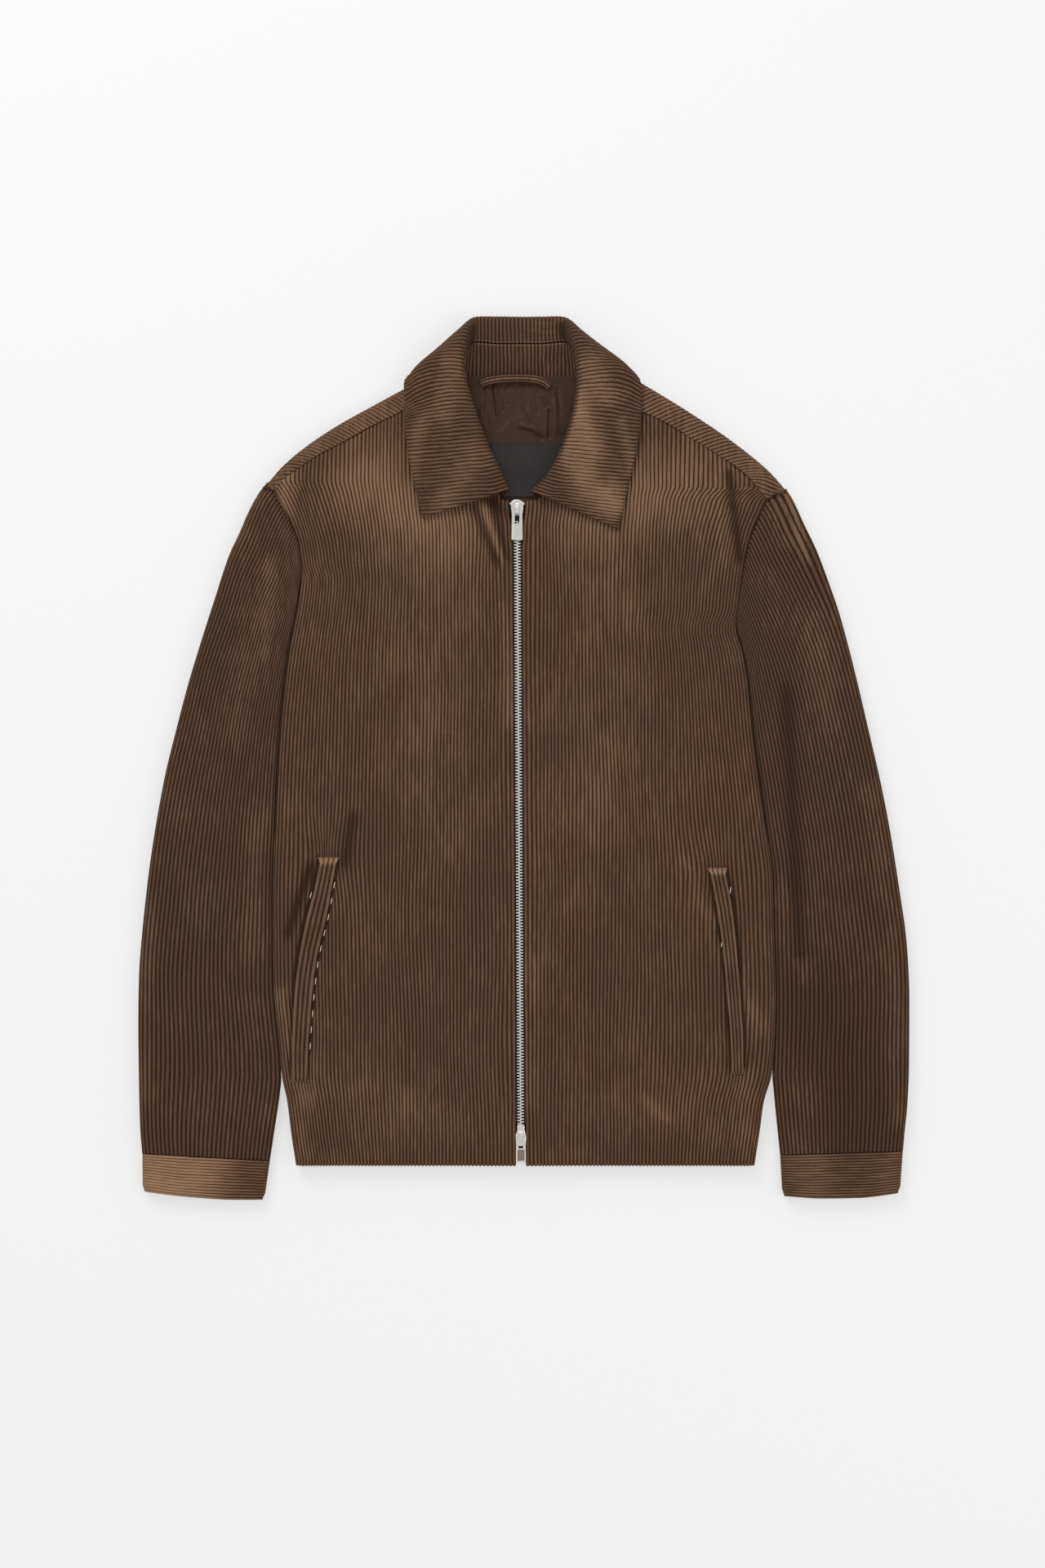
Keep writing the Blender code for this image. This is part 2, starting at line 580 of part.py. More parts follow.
def back_thread(side, share, fold_step):
    """One thread line of the back: up the flat from the hem, then over the shoulder to its seam.

    A share of 1 and every fold step run up the side fold and the armhole itself.
    """
    radius = BODY_THICK / 2
    fold, seam = SHOULDER_FOLD[side], SHOULDER_SEAM[side]
    tip = np.array([fold["out"][-1], fold["up"][-1]])
    on_edge = share >= 1.0
    armhole = tip - (SIGN[side] * float(body_edge_x(side, tip[1] - radius)), tip[1] - radius)
    armhole /= np.linalg.norm(armhole)

    def out_at(up):
        ups = np.array([up])
        if fold_step:
            return SIGN[side] * side_fold(side, ups, np.zeros(1), np.zeros(1))[0][0, fold_step]
        return SIGN[side] * wale_x(0.0, flat_end_x(side, ups)[0], side, share)

    if share < BACK_NECK_SHARE:
        at_out = share / BACK_NECK_SHARE * SHOULDER_WRAP_ENDS[0]
    else:
        beyond_neck = (share - BACK_NECK_SHARE) / (1 - BACK_NECK_SHARE)
        at_out = SHOULDER_WRAP_ENDS[0] + beyond_neck * (tip[0] - 1.9 - SHOULDER_WRAP_ENDS[0])
    wrap = float(smoothstep(*SHOULDER_WRAP_ENDS, at_out))
    fold_at = [smooth_curve(fold["out"], fold["up"], min(at_out + d, tip[0])) for d in (-1.0, 0.0, 1.0)]
    slope = float(fold_at[2] - fold_at[0]) / (min(at_out + 1, tip[0]) - at_out + 1)
    normal = np.array([-slope, 1.0]) / math.hypot(slope, 1.0)
    toward = normal + (armhole - normal) * float(smoothstep(0.8, 1.0, share))
    toward /= np.linalg.norm(toward)
    stretch = 1.0 / float(toward @ normal)
    on_fold = tip if on_edge else np.array([at_out, float(fold_at[1])])
    rolled_start = on_fold - radius * stretch * toward
    plain_start = np.array([at_out, 679.2 - 4 * float(smoothstep(44, 66, at_out)) - BACK_NECK_RUN])
    start = plain_start + (rolled_start - plain_start) * wrap
    direction = (1 - wrap) * np.array([0.0, 1.0]) + wrap * toward
    direction /= np.linalg.norm(direction)
    run, at = 1.0, rolled_start
    while at[1] > float(smooth_curve(seam["out"], seam["up"], at[0])) + 2.5 * SEAM_GAP:
        run += 0.25
        at = rolled_start - toward * stretch * run
    length = BACK_NECK_RUN + (math.pi * radius + run - BACK_NECK_RUN) * wrap
    bend = max(wrap, 1e-6) / radius
    shift = start[0] - out_at(start[1])
    points = []
    for part in PANEL_ROWS:
        up = BACK_HEM_UP + (start[1] - BACK_HEM_UP) * part
        out = out_at(up) + (0.0 if on_edge else shift * (up / start[1]) ** 6)
        high = 0.0
        if fold_step:
            lift = side_fold(side, np.array([up]), np.zeros(1), np.full(1, -(radius - SEAM_GAP / 2)))[1]
            high = lift[0, fold_step] * (1 - float(smoothstep(0.9, 1.0, part)))
        points.append((out, up, high))
    for k in range(1, BACK_ROLL_ROWS + 1):
        on_arc = min(k / (BACK_ROLL_ROWS - 2), 1.0) * math.pi * radius
        past = max(k - BACK_ROLL_ROWS + 2, 0) / 2 * run
        arc = length * k / BACK_ROLL_ROWS * (1 - wrap) + (on_arc + past) * wrap
        angle = min(bend * arc, math.pi)
        reach = math.sin(angle) / bend - max(arc - math.pi / bend, 0.0)
        plan = start + direction * reach * (1 + (stretch - 1) * wrap)
        out = out_at(plan[1]) if on_edge else plan[0]
        points.append((out, plan[1], (1 - math.cos(angle)) / bend))
    return [(SIGN[side] * out, up, high) for out, up, high in points]


def back(material):
    """The back lies on the surface, turns up at the sides and rolls forward over the shoulders."""
    shares = np.linspace(0, 1, 11)
    fold_steps = range(1, len(FOLD_ANGLES))
    threads = [back_thread("right", 1.0, step) for step in reversed(fold_steps)]
    threads += [back_thread("right", share, 0) for share in shares[:0:-1]]
    threads += [back_thread("left", share, 0) for share in shares]
    threads += [back_thread("left", 1.0, step) for step in fold_steps]
    outer = np.array(threads).transpose(1, 0, 2)
    normal = grid_normals(outer, closed=False)
    normal *= np.sign(normal[4, 12, 2])
    square_rim(normal, outer, "right", (0, 1, 2, 3))
    square_rim(normal, outer, "left", (-1, -2, -3, -4))
    return wall_mesh("back", outer, outer + normal * PADDED_WALL, False, material)


# ---------------------------------------------------------------- sleeves and cuffs
def tube(inner, outer_edge, half_high, axis, top_angles, flat_count):
    """One flattened ring between two folds, as (x, up, high) all the way round."""
    chord = outer_edge - inner
    wide = abs(chord[0] * axis[1] - chord[1] * axis[0])
    fold = half_high / wide
    shares, heights = [], []
    for angle in top_angles:
        shares.append(fold * (1 - math.cos(angle)))
        heights.append(math.sin(angle))
    middle = np.linspace(fold, 1 - fold, flat_count + 2)[1:-1]
    top_share = np.concatenate([shares, middle, 1 - np.array(shares[::-1])])
    top_rise = np.concatenate([heights, np.ones(flat_count), heights[::-1]])
    under_share, under_rise = top_share[1:-1][::-1], -top_rise[1:-1][::-1]
    share = np.concatenate([top_share, under_share])
    rise = np.concatenate([top_rise, under_rise])
    plan = inner + share[:, None] * chord
    high = half_high * (1 + rise)
    return share, plan, high


def sleeve(side, material):
    outer_line, inner_start = SLEEVE_OUTER[side], SLEEVE_INNER[side]["up"][0]
    rings = []
    for v in SLEEVE_ROWS:
        inner_up = inner_start + (UNDERARM_UP[side] - inner_start) * v
        outer_up = outer_line["up"][0] + (outer_line["up"][-1] - outer_line["up"][0]) * v
        inner = np.array([float(sleeve_inner_x(side, inner_up)), inner_up])
        outer_out = float(smooth_curve(outer_line["up"], outer_line["out"], outer_up))
        edge = np.array([SIGN[side] * outer_out, outer_up])
        axis = np.array([SIGN[side] * (-0.05 - 0.28 * v), 1.0])
        axis /= np.linalg.norm(axis)
        half_high = (SLEEVE_THICK + (BODY_THICK - SLEEVE_THICK) * smoothstep(0.8, 1.0, v)) / 2
        half_high -= 0.7 * (1 - smoothstep(0.0, 0.08, v))
        share, plan, high = tube(inner, edge, half_high, axis, FOLD_ANGLES, 4)
        # The last rings take the curve of the armhole.
        tip_up = outer_line["up"][-1]
        seam_up = UNDERARM_UP[side] + (tip_up - UNDERARM_UP[side]) * share
        chord_x = body_edge_x(side, UNDERARM_UP[side]) + share * (
            body_edge_x(side, tip_up) - body_edge_x(side, UNDERARM_UP[side])
        )
        bow = (body_edge_x(side, seam_up) - chord_x) * smoothstep(0.72, 1.0, v)
        drawn_back = 1.6 * share * smoothstep(0.9, 1.0, v)
        rings.append(np.column_stack([plan[:, 0] + bow, plan[:, 1] - drawn_back, high]))
    return ring_wall(f"sleeve_{side}", np.array(rings), SLEEVE_WALL, material)


def ring_wall(name, outer, wall, material):
    """A tube's wall: its second skin lies inside the first, and its two rims stand upright."""
    normal = grid_normals(outer, closed=True)
    for end in (0, -1):
        tangent = outer[end, len(outer[end]) // 2 - 1, :2] - outer[end, 0, :2]
        chord = slopes(outer[end][:, None, :2], 0, False)[:, 0]
        chord = np.where(np.linalg.norm(chord, axis=1, keepdims=True) < 0.3, tangent, chord)
        chord /= np.linalg.norm(chord, axis=1, keepdims=True)
        normal[end, :, :2] = (normal[end, :, :2] * chord).sum(axis=1, keepdims=True) * chord
        normal[end] /= np.linalg.norm(normal[end], axis=1, keepdims=True)
    middle = outer.mean(axis=1, keepdims=True)
    outward = np.sign((normal * (outer - middle)).sum())
    return wall_mesh(name, outer, outer - outward * normal * wall, True, material)


def cuff(side, material):
    seam, end = CUFF_SEAM[side], CUFF_END[side]
    rings = []
    for v in (0.0, 0.4, 0.85, 1.0):
        drawn_in = 1.6 * smoothstep(0.8, 1.0, v)
        inner = np.array([seam["out"][0] + (end["out"][0] - seam["out"][0]) * v + drawn_in, 0.0])
        edge = np.array([seam["out"][-1] + (end["out"][-1] - seam["out"][-1]) * v - drawn_in, 0.0])
        half_high = CUFF_THICK / 2 - 0.5 * smoothstep(0.8, 1.0, v)
        share, plan, high = tube(inner, edge, half_high, np.array([0.0, 1.0]), FOLD_ANGLES, 4)
        seam_up = np.interp(plan[:, 0], seam["out"], seam["up"])
        end_out = end["out"][0] + share * (end["out"][-1] - end["out"][0])
        end_up = smooth_curve(end["out"], end["up"], end_out)
        up = seam_up + (end_up - seam_up) * v
        rings.append(np.column_stack([SIGN[side] * plan[:, 0], up, high - half_high + CUFF_THICK / 2]))
    return ring_wall(f"cuff_{side}", np.array(rings), CUFF_WALL, material)


# ---------------------------------------------------------------- collar
def collar_controls():
    """Control points of every section, from the wearer's right front end round to the left one."""
    right = [[(-p[0], p[1], p[2]) for p in section] for section in COLLAR_SECTIONS["right"]]
    left = [list(section) for section in COLLAR_SECTIONS["left"]]
    return np.array(right + [list(COLLAR_MIDDLE)] + left[::-1], float)


def collar_grid(shares, steps):
    controls = through_points(collar_controls(), steps)
    weights = blend_weights(len(COLLAR_POINTS.split()), shares)
    return np.einsum("tc,scx->stx", weights, controls)


def collar_piece(name, shares, wall, material):
    middle = collar_grid(shares, 1)
    normal = grid_normals(collar_grid(shares, 1), closed=False)
    # The corner sections are short along the neck, so their normals are evened out.
    for _ in range(2):
        normal[1:-1] = normal[1:-1] * 0.5 + (normal[:-2] + normal[2:]) * 0.25
        normal /= np.linalg.norm(normal, axis=2, keepdims=True)
    if shares[0] == 0:
        normal[:, 0] = (0.0, 0.0, np.sign(normal[0, 0, 2]))
    return wall_mesh(name, middle + normal * wall / 2, middle - normal * wall / 2, False, material)


def collar_stand(material):
    shares = np.linspace(0, STAND_SHARE - STAND_GAP_SHARE, 4)
    return collar_piece("collar_stand", shares, COLLAR_WALL, material)


def collar_fall(material):
    shares = np.concatenate(
        [np.linspace(STAND_SHARE + STAND_GAP_SHARE, 0.62, 13), np.linspace(0.68, 1.0, 6)]
    )
    return collar_piece("collar_fall", shares, COLLAR_WALL, material)


# ---------------------------------------------------------------- pieces on and in the body
def welt(side, material):
    rows = WELT[side]
    ups = np.linspace(rows["up"][0], rows["up"][-1], 11)
    inner = smooth_curve(rows["up"], rows["inner"], ups)
    outer = smooth_curve(rows["up"], rows["outer"], ups)
    low = np.zeros((len(ups), 4, 3))
    for j, share in enumerate((0.0, 0.12, 0.88, 1.0)):
        x = SIGN[side] * (inner + (outer - inner) * share)
        low[:, j] = np.column_stack([x, ups, front_high(side, x, ups) + LAY_GAP])
    high = low + (0.0, 0.0, WELT_WALL)
    high[:, (0, 3), 2] -= 0.5
    return wall_mesh(f"pocket_welt_{side}", low, high, False, material)


def lining(material):
    xs, ups = np.linspace(-LINING_HALF, LINING_HALF, 11), np.linspace(*LINING_UP, 9)
    grid = np.array([[(x, up, PADDED_WALL + LAY_GAP) for x in xs] for up in ups])
    in_neck = (1 - smoothstep(14, 40, abs(grid[..., 0] - 4))) * smoothstep(628, 640, grid[..., 1])
    in_neck *= 1 - smoothstep(664, 676, grid[..., 1])
    top = grid.copy()
    top[..., 2] += LINING_WALL + 1.2 * in_neck
    return wall_mesh("lining_back", grid, top, False, material)


def label(material):
    xs, ups = np.linspace(*LABEL["x"], 5), np.linspace(*LABEL["up"], 5)
    low = np.array([[(x, up, PADDED_WALL + LINING_WALL + 2 * LAY_GAP - 0.2) for x in xs] for up in ups])
    return wall_mesh("label", low, low + (0.0, 0.0, LABEL_WALL), False, material)


def hanger(material):
    path = through_points(np.column_stack(list(HANGER.values())), 2)
    heading = np.gradient(path, axis=0)
    heading /= np.linalg.norm(heading, axis=1, keepdims=True)
    across = np.cross(heading, (0.0, 0.0, 1.0))
    across /= np.linalg.norm(across, axis=1, keepdims=True)
    upward = np.cross(across, heading)
    turn = np.linspace(0, 2 * math.pi, 10, endpoint=False)
    ring = (
        path[:, None]
        + across[:, None] * HANGER_HALF_WIDE * np.cos(turn)[None, :, None]
        + upward[:, None] * HANGER_HALF_THICK * np.sin(turn)[None, :, None]
    )
    return capped_tube("hanger_loop", ring, material)


def capped_tube(name, rings, material):
    rows, cols = rings.shape[:2]
    points = (rings.reshape(-1, 3) - (CENTRE_OUT, CENTRE_UP, 0.0)) * MM
    mesh = bmesh.new()
    verts = [mesh.verts.new(p) for p in points]
    for i in range(rows - 1):
        for j in range(cols):
            a, b = i * cols + j, i * cols + (j + 1) % cols
            mesh.faces.new([verts[a], verts[b], verts[b + cols], verts[a + cols]])
    mesh.faces.new(verts[:cols][::-1])
    mesh.faces.new(verts[-cols:])
    bmesh.ops.recalc_face_normals(mesh, faces=mesh.faces)
    return place(name, mesh, material)


# ---------------------------------------------------------------- zip
def prism(outline, low, high):
    """A closed block from a plan outline in cutting millimetres."""
    mesh = bmesh.new()
    ring = [mesh.verts.new(((x - CENTRE_OUT) * MM, (y - CENTRE_UP) * MM, low * MM)) for x, y in outline]
    face = mesh.faces.new(ring)
    raised = bmesh.ops.extrude_face_region(mesh, geom=[face])
    top = [v for v in raised["geom"] if isinstance(v, bmesh.types.BMVert)]
    bmesh.ops.translate(mesh, verts=top, vec=(0, 0, (high - low) * MM))
    bmesh.ops.recalc_face_normals(mesh, faces=mesh.faces)
    return mesh


def zip_tape(side, material):
    """A strip under the front edge, cut back round both sliders."""
    sign = SIGN[side]
    near, round_slider = CHAIN_HALF + 0.4, 7.4
    steps = (
        (4.0, near), (15.5, near), (15.5, round_slider), (37.5, round_slider), (37.5, near), (555.5, near),
        (555.5, round_slider), (571.0, round_slider),
    )
    inner = [(float(zip_x(up)) + sign * out, up) for up, out in steps]
    outer = [(float(zip_x(up)) + sign * (near + TAPE_WIDE), up) for up in (571.0, 4.0)]
    low = CHAIN_HIGH - TAPE_THICK / 2
    return place(f"zip_tape_{side}", prism(inner + outer, low - 0.3, low - 0.3 + TAPE_THICK), material)


def zip_chain(material):
    ends = (38.0, 554.5)
    outline = [(float(zip_x(up)) + out, up) for up, out in (
        (ends[0], -CHAIN_HALF), (ends[0], CHAIN_HALF), (ends[1], CHAIN_HALF), (ends[1], -CHAIN_HALF))]
    mesh = prism(outline, CHAIN_HIGH - CHAIN_THICK / 2, CHAIN_HIGH + CHAIN_THICK / 2)
    return place("zip_chain", mesh, material)


def slider_outline(half, centre_x):
    """Both halves of an outline given as (out, up) down one side."""
    other_side = [(centre_x - out, up) for out, up in half[::-1] if out > 0]
    return [(centre_x + out, up) for out, up in half] + other_side


def bridge_profile(reach_up, reach_down, base, hinge_high):
    """Side outline of the loop that holds the tab: an arch over the hinge with a tail along the body."""
    outer = []
    for turn in np.radians([180, 150, 120, 90, 60, 30, 0]):
        outer.append((reach_down + (reach_up - reach_down) * (1 + math.cos(turn)) / 2, math.sin(turn)))
    top = hinge_high + 2.0
    return [(y, base + (top - base) * rise**0.6) for y, rise in outer]


def boolean(thing, other, operation):
    step = thing.modifiers.new(operation.title(), "BOOLEAN")
    step.operation = operation
    step.object = other
    step.solver = "EXACT"
    other.hide_render = True
    other.display_type = "WIRE"


def side_plate(name, profile, x_low, x_high, material):
    """A block from a (up, high) outline, standing between two values of x."""
    mesh = bmesh.new()
    x = (x_low - CENTRE_OUT) * MM
    ring = [mesh.verts.new((x, (up - CENTRE_UP) * MM, high * MM)) for up, high in profile]
    face = mesh.faces.new(ring)
    raised = bmesh.ops.extrude_face_region(mesh, geom=[face])
    far = [v for v in raised["geom"] if isinstance(v, bmesh.types.BMVert)]
    bmesh.ops.translate(mesh, verts=far, vec=((x_high - x_low) * MM, 0, 0))
    bmesh.ops.recalc_face_normals(mesh, faces=mesh.faces)
    return place(name, mesh, material)


def slider(which, material):
    """Body with the arched bridge that the pull tab hangs from."""
    hinge = HINGE_UP[which]
    centre = float(zip_x(hinge))
    low, high = 9.2, 13.6
    body = place(f"slider_{which}", prism(slider_outline(SLIDER_HALF[which], centre), low, high), material)
    bevel = body.modifiers.new("Edges", "BEVEL")
    bevel.width = 0.4 * MM
    bevel.segments = 2
    bevel.limit_method = "ANGLE"
    up_reach, down_reach = BRIDGE_REACH[which]
    profile = bridge_profile(hinge + up_reach, hinge + down_reach, high - 1.0, HINGE_HIGH)
    if which == "top":
        # The bridge ends over the chain, so its tail stays above it.
        body_end = SLIDER_HALF["top"][-1][1]
        profile = [(max(up, body_end + 0.6), level) for up, level in profile]
        profile = [p for i, p in enumerate(profile) if i == 0 or p != profile[i - 1]]
    bridge = side_plate(f"bridge_{which}", profile, centre - 1.4, centre + 1.4, material)
    turns = np.linspace(0, 2 * math.pi, 12, endpoint=False)
    eye = [(hinge + 1.3 * math.cos(turn), HINGE_HIGH + 1.25 * math.sin(turn)) for turn in turns]
    opening = side_plate(f"eye_{which}", eye, centre - 4, centre + 4, material)
    boolean(body, bridge, "UNION")
    boolean(body, opening, "DIFFERENCE")
    return body


def pull_tab(which, material):
    """A flat tab hanging from its hinge, with the window that the bridge passes through."""
    hinge, centre = HINGE_UP[which], float(zip_x(HINGE_UP[which]))
    half_top, half_end = {"top": (4.4, 4.85), "bottom": (4.1, 4.3)}[which]
    window = {"top": (15.4, 1.95), "bottom": (9.0, 1.95)}[which]
    long = TAB_LONG[which]
    outline = [
        (centre - half_top, hinge + 0.8), (centre + half_top, hinge + 0.8),
        (centre + half_end, hinge - long + 0.8), (centre + half_end - 0.8, hinge - long),
        (centre - half_end + 0.8, hinge - long), (centre - half_end, hinge - long + 0.8),
    ]
    mesh = prism(outline, HINGE_HIGH - TAB_THICK / 2, HINGE_HIGH + TAB_THICK / 2)
    tab = place(f"pull_tab_{which}", mesh, material)
    move_origin(tab, (centre, hinge, HINGE_HIGH))
    cut = [
        (centre - window[1], hinge - 0.8), (centre + window[1], hinge - 0.8),
        (centre + window[1], hinge - window[0]), (centre - window[1], hinge - window[0]),
    ]
    cutter = place(f"window_{which}", prism(cut, HINGE_HIGH - 3, HINGE_HIGH + 3), material)
    boolean(tab, cutter, "DIFFERENCE")
    recess = [
        (centre - half_top + 1.1, hinge - window[0] - 1.2),
        (centre + half_top - 1.1, hinge - window[0] - 1.2),
        (centre + half_end - 1.1, hinge - long + 1.3),
        (centre - half_end + 1.1, hinge - long + 1.3),
    ]
    mesh = prism(recess, HINGE_HIGH + TAB_THICK / 2 - 0.35, HINGE_HIGH + 3)
    shallow = place(f"recess_{which}", mesh, material)
    boolean(tab, shallow, "DIFFERENCE")
    bevel = tab.modifiers.new("Edges", "BEVEL")
    bevel.width = 0.2 * MM
    bevel.segments = 2
    bevel.limit_method = "ANGLE"
    return tab


def main():
    for thing in list(bpy.data.objects):
        bpy.data.objects.remove(thing, do_unlink=True)
    for side in ("right", "left"):
        front(side, finish(f"corduroy_front_{side}", CORDUROY, CORDUROY_ROUGH))
        sleeve(side, finish(f"corduroy_sleeve_{side}", CORDUROY, CORDUROY_ROUGH))
        cuff(side, finish(f"corduroy_cuff_{side}", CORDUROY, CORDUROY_ROUGH))
        welt(side, finish(f"corduroy_welt_{side}", CORDUROY, CORDUROY_ROUGH))
        zip_tape(side, finish(f"zip_tape_{side}", (0.03, 0.018, 0.012), 0.9))
    back(finish("corduroy_back", CORDUROY, CORDUROY_ROUGH))
    collar_stand(finish("corduroy_collar_stand", CORDUROY, CORDUROY_ROUGH))
    collar_fall(finish("corduroy_collar_fall", CORDUROY, CORDUROY_ROUGH))
    hanger(finish("corduroy_hanger", CORDUROY, CORDUROY_ROUGH))
    lining(finish("satin_lining", (0.05, 0.035, 0.02), 0.5))
    label(finish("satin_label", (0.012, 0.012, 0.013), 0.45))
    zip_chain(finish("nickel_chain", NICKEL, NICKEL_ROUGH, 1.0))
    for which in ("top", "bottom"):
        slider(which, finish(f"nickel_slider_{which}", NICKEL, NICKEL_ROUGH, 1.0))
        pull_tab(which, finish(f"nickel_tab_{which}", NICKEL, NICKEL_ROUGH, 1.0))
    jacket = bpy.data.objects.new("jacket", None)
    bpy.context.scene.collection.objects.link(jacket)
    for thing in bpy.data.objects:
        if thing != jacket:
            thing.parent = jacket


main()
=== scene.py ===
"""A lined corduroy jacket with a two-way zip, lying flat on its back: its cloth, trimmings and stage.

Lengths in the tables are millimetres in the cutting frame: "out" is the distance from the zip line,
"up" the distance above the hem and "high" the height above the surface it lies on. The wearer's
right is at negative x. Every made piece is written in metres, in the frame that the solids use.
"""

import math

import bmesh
import bpy
import numpy as np
from bpy.props import FloatProperty, FloatVectorProperty, PointerProperty, StringProperty
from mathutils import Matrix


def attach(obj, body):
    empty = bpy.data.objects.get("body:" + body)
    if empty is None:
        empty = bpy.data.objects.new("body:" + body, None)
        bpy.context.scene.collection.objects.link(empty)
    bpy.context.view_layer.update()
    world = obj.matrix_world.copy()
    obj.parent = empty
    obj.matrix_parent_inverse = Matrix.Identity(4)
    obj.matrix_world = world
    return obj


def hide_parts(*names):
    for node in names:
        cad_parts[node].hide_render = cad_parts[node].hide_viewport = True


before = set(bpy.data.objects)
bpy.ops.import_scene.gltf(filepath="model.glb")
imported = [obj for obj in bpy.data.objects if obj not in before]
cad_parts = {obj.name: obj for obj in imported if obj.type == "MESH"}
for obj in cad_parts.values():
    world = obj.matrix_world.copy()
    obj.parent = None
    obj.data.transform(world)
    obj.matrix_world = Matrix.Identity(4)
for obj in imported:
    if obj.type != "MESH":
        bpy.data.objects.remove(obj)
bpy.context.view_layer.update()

bl_info = {
    "name": "Corduroy jacket",
    "version": (1, 0, 0),
    "blender": (4, 5, 0),
    "location": "3D View > Sidebar > Jacket",
    "description": "Builds a lined corduroy jacket laid flat, with its zip, trimmings and stage",
    "category": "Object",
}

MM = 0.001
SIGN = {"right": -1.0, "left": 1.0}
ROOT = "jacket"
# ---------------------------------------------------------------- driving dimensions, mm
CENTRE_OUT = 3.828  # the middle of the jacket's box, measured from the zip line
CENTRE_UP = 351.786  # and above the hem
BODY_THICK = 15.0  # both layers of the padded body, lying on each other
PADDED_WALL = 6.0  # corduroy, wadding and quilted lining sewn as one
EDGE_WALL = 3.2  # the front edge beside the zip, which has no wadding
SLEEVE_THICK = 14.0
SLEEVE_WALL = 5.6
CUFF_THICK = 11.6
CUFF_WALL = 4.2
COLLAR_WALL = 3.4
WELT_WALL = 1.8
LINING_WALL = 1.2
LABEL_WALL = 0.4
INSIDE_WALL = 0.3  # the cloth is this much thinner than the solid it stands for, to stay inside it
SEAM_GAP = 0.4  # between pieces sewn together
NECK_GAP = 1.7  # the stand leans out over the neck seam
LAY_GAP = 0.5  # between a piece and what it lies on
ZIP_LEAN = (1.4, -2.0)  # x of the zip line at the hem and at its top
ZIP_TOP = 574.0
SLOT_HALF = 5.5  # front edge to zip line
TEETH_UP = (34.0, 559.0)
BACK_HEM_UP = 3.5  # the back hem lies a little above the front one
CHAIN_HIGH = 11.0  # middle of the chain
SHOULDER_WRAP_ENDS = (66.0, 76.0)  # out: the back stops rolling over the shoulder here
BACK_NECK_SHARE = 0.3  # of the back's width from its middle, under the collar
BACK_NECK_RUN = 6.0
BACK_NECK_UP = 679.2

FOLD_ANGLES = np.radians([0, 30, 60, 90])
FOLD_STEP = 0.02  # of a share, kept for each of those angles past the flat of the back
BACK_PLACES = np.concatenate([np.linspace(0, 0.7, 26), np.linspace(0.72, 1, 24)])
ROLL_STEPS = 18
PAST_STEPS = 10


def table(columns, *rows):
    """Each named column as an array, a row for each point."""
    return dict(zip(columns.split(), np.array(rows, float).T))


# Side of the body from the hem to the underarm, then the armhole to the tip of the shoulder.
BODY_EDGE = {
    "right": table(
        "up out",
        (0, 193), (25, 196.9), (57, 201), (75, 204.9), (118, 209.9), (161, 213.4), (231, 214.1),
        (301, 212), (372, 208.5), (442, 201), (482, 193.7), (503.5, 190.8), (520, 189.8),
        (536, 192), (556, 198.9), (570, 205.4), (581, 212), (590, 219),
    ),
    "left": table(
        "up out",
        (0, 203.3), (33, 208.3), (54, 211.2), (79, 218.3), (104, 221.1), (150, 222.5),
        (196, 221.1), (249, 219.7), (287, 215.1), (373, 203.5), (420, 199), (446, 194.4),
        (463, 189.6), (482, 190.6), (507, 193.7), (532, 198.2), (550, 203.5), (564, 209.6),
        (574.5, 214.7), (580, 222), (584.5, 231.5),
    ),
}
UNDERARM_UP = {"right": 503.5, "left": 463.0}

# Seam of the front to the part of the back that rolls forward over the shoulder.
SHOULDER_SEAM = {
    "right": table(
        "out up",
        (57.5, 673), (80, 661.5), (102, 650), (130.4, 636), (149.7, 625), (174, 612),
        (201.5, 593.5), (213.4, 583),
    ),
    "left": table(
        "out up",
        (60.5, 673.5), (84, 660), (104.6, 650), (117.6, 645), (133.7, 636), (166.1, 616),
        (190.4, 600), (204.9, 586), (214.7, 574.5),
    ),
}
# The fold where the back rolls over the shoulder.
SHOULDER_FOLD = {
    "right": table(
        "out up",
        (62, 688.5), (80, 680.5), (99.6, 671), (125.5, 657), (157.8, 639), (190, 617),
        (209, 600), (219, 590),
    ),
    "left": table(
        "out up",
        (62, 699), (80, 691), (101.4, 678.5), (117.6, 669), (149.9, 649), (182.3, 627),
        (214.6, 601), (225, 590.5), (231.5, 584.5),
    ),
}

SLEEVE_OUTER = {
    "right": table(
        "up out",
        (10.6, 326.3), (33, 328), (73.5, 329), (122, 329.6), (162, 329), (200, 326.3),
        (232, 323), (264, 319), (305, 312.5), (339, 306), (377.5, 296.5), (415, 286.7),
        (442, 278.6), (491, 263), (528, 250.7), (547, 242), (565, 234.5), (583, 225), (590, 219.6),
    ),
    "left": table(
        "up out",
        (12.7, 331.9), (30, 333.4), (51, 335.5), (87, 337), (145, 337.3), (173.5, 336.3),
        (202, 334), (231, 329.8), (287, 321), (330, 312.7), (373, 302.8), (419, 292),
        (449, 284.5), (477, 276.8), (504, 267.6), (532, 257), (555, 246.3), (578, 236),
        (584.5, 232),
    ),
}
# Where the sleeve hangs clear of the body, below the wedge between them.
SLEEVE_INNER = {
    "right": table("up out", (4.6, 215.5), (36, 210.7), (57, 207.5), (74, 205.5)),
    "left": table("up out", (9.6, 225.3), (51, 221), (76, 218.7)),
}
# Cuff corners: its seam to the sleeve, then its open end, each from inner to outer fold.
CUFF_SEAM = {
    "right": table("out up", (215.5, 4.2), (326.3, 10.2)),
    "left": table("out up", (225.3, 9.2), (331.9, 12.3)),
}
CUFF_END = {
    "right": table("out up", (220.4, -30), (244.6, -30), (286.7, -27.7), (326, -23)),
    "left": table("out up", (227.4, -27), (261, -29), (293.7, -28.5), (329.3, -24.4)),
}

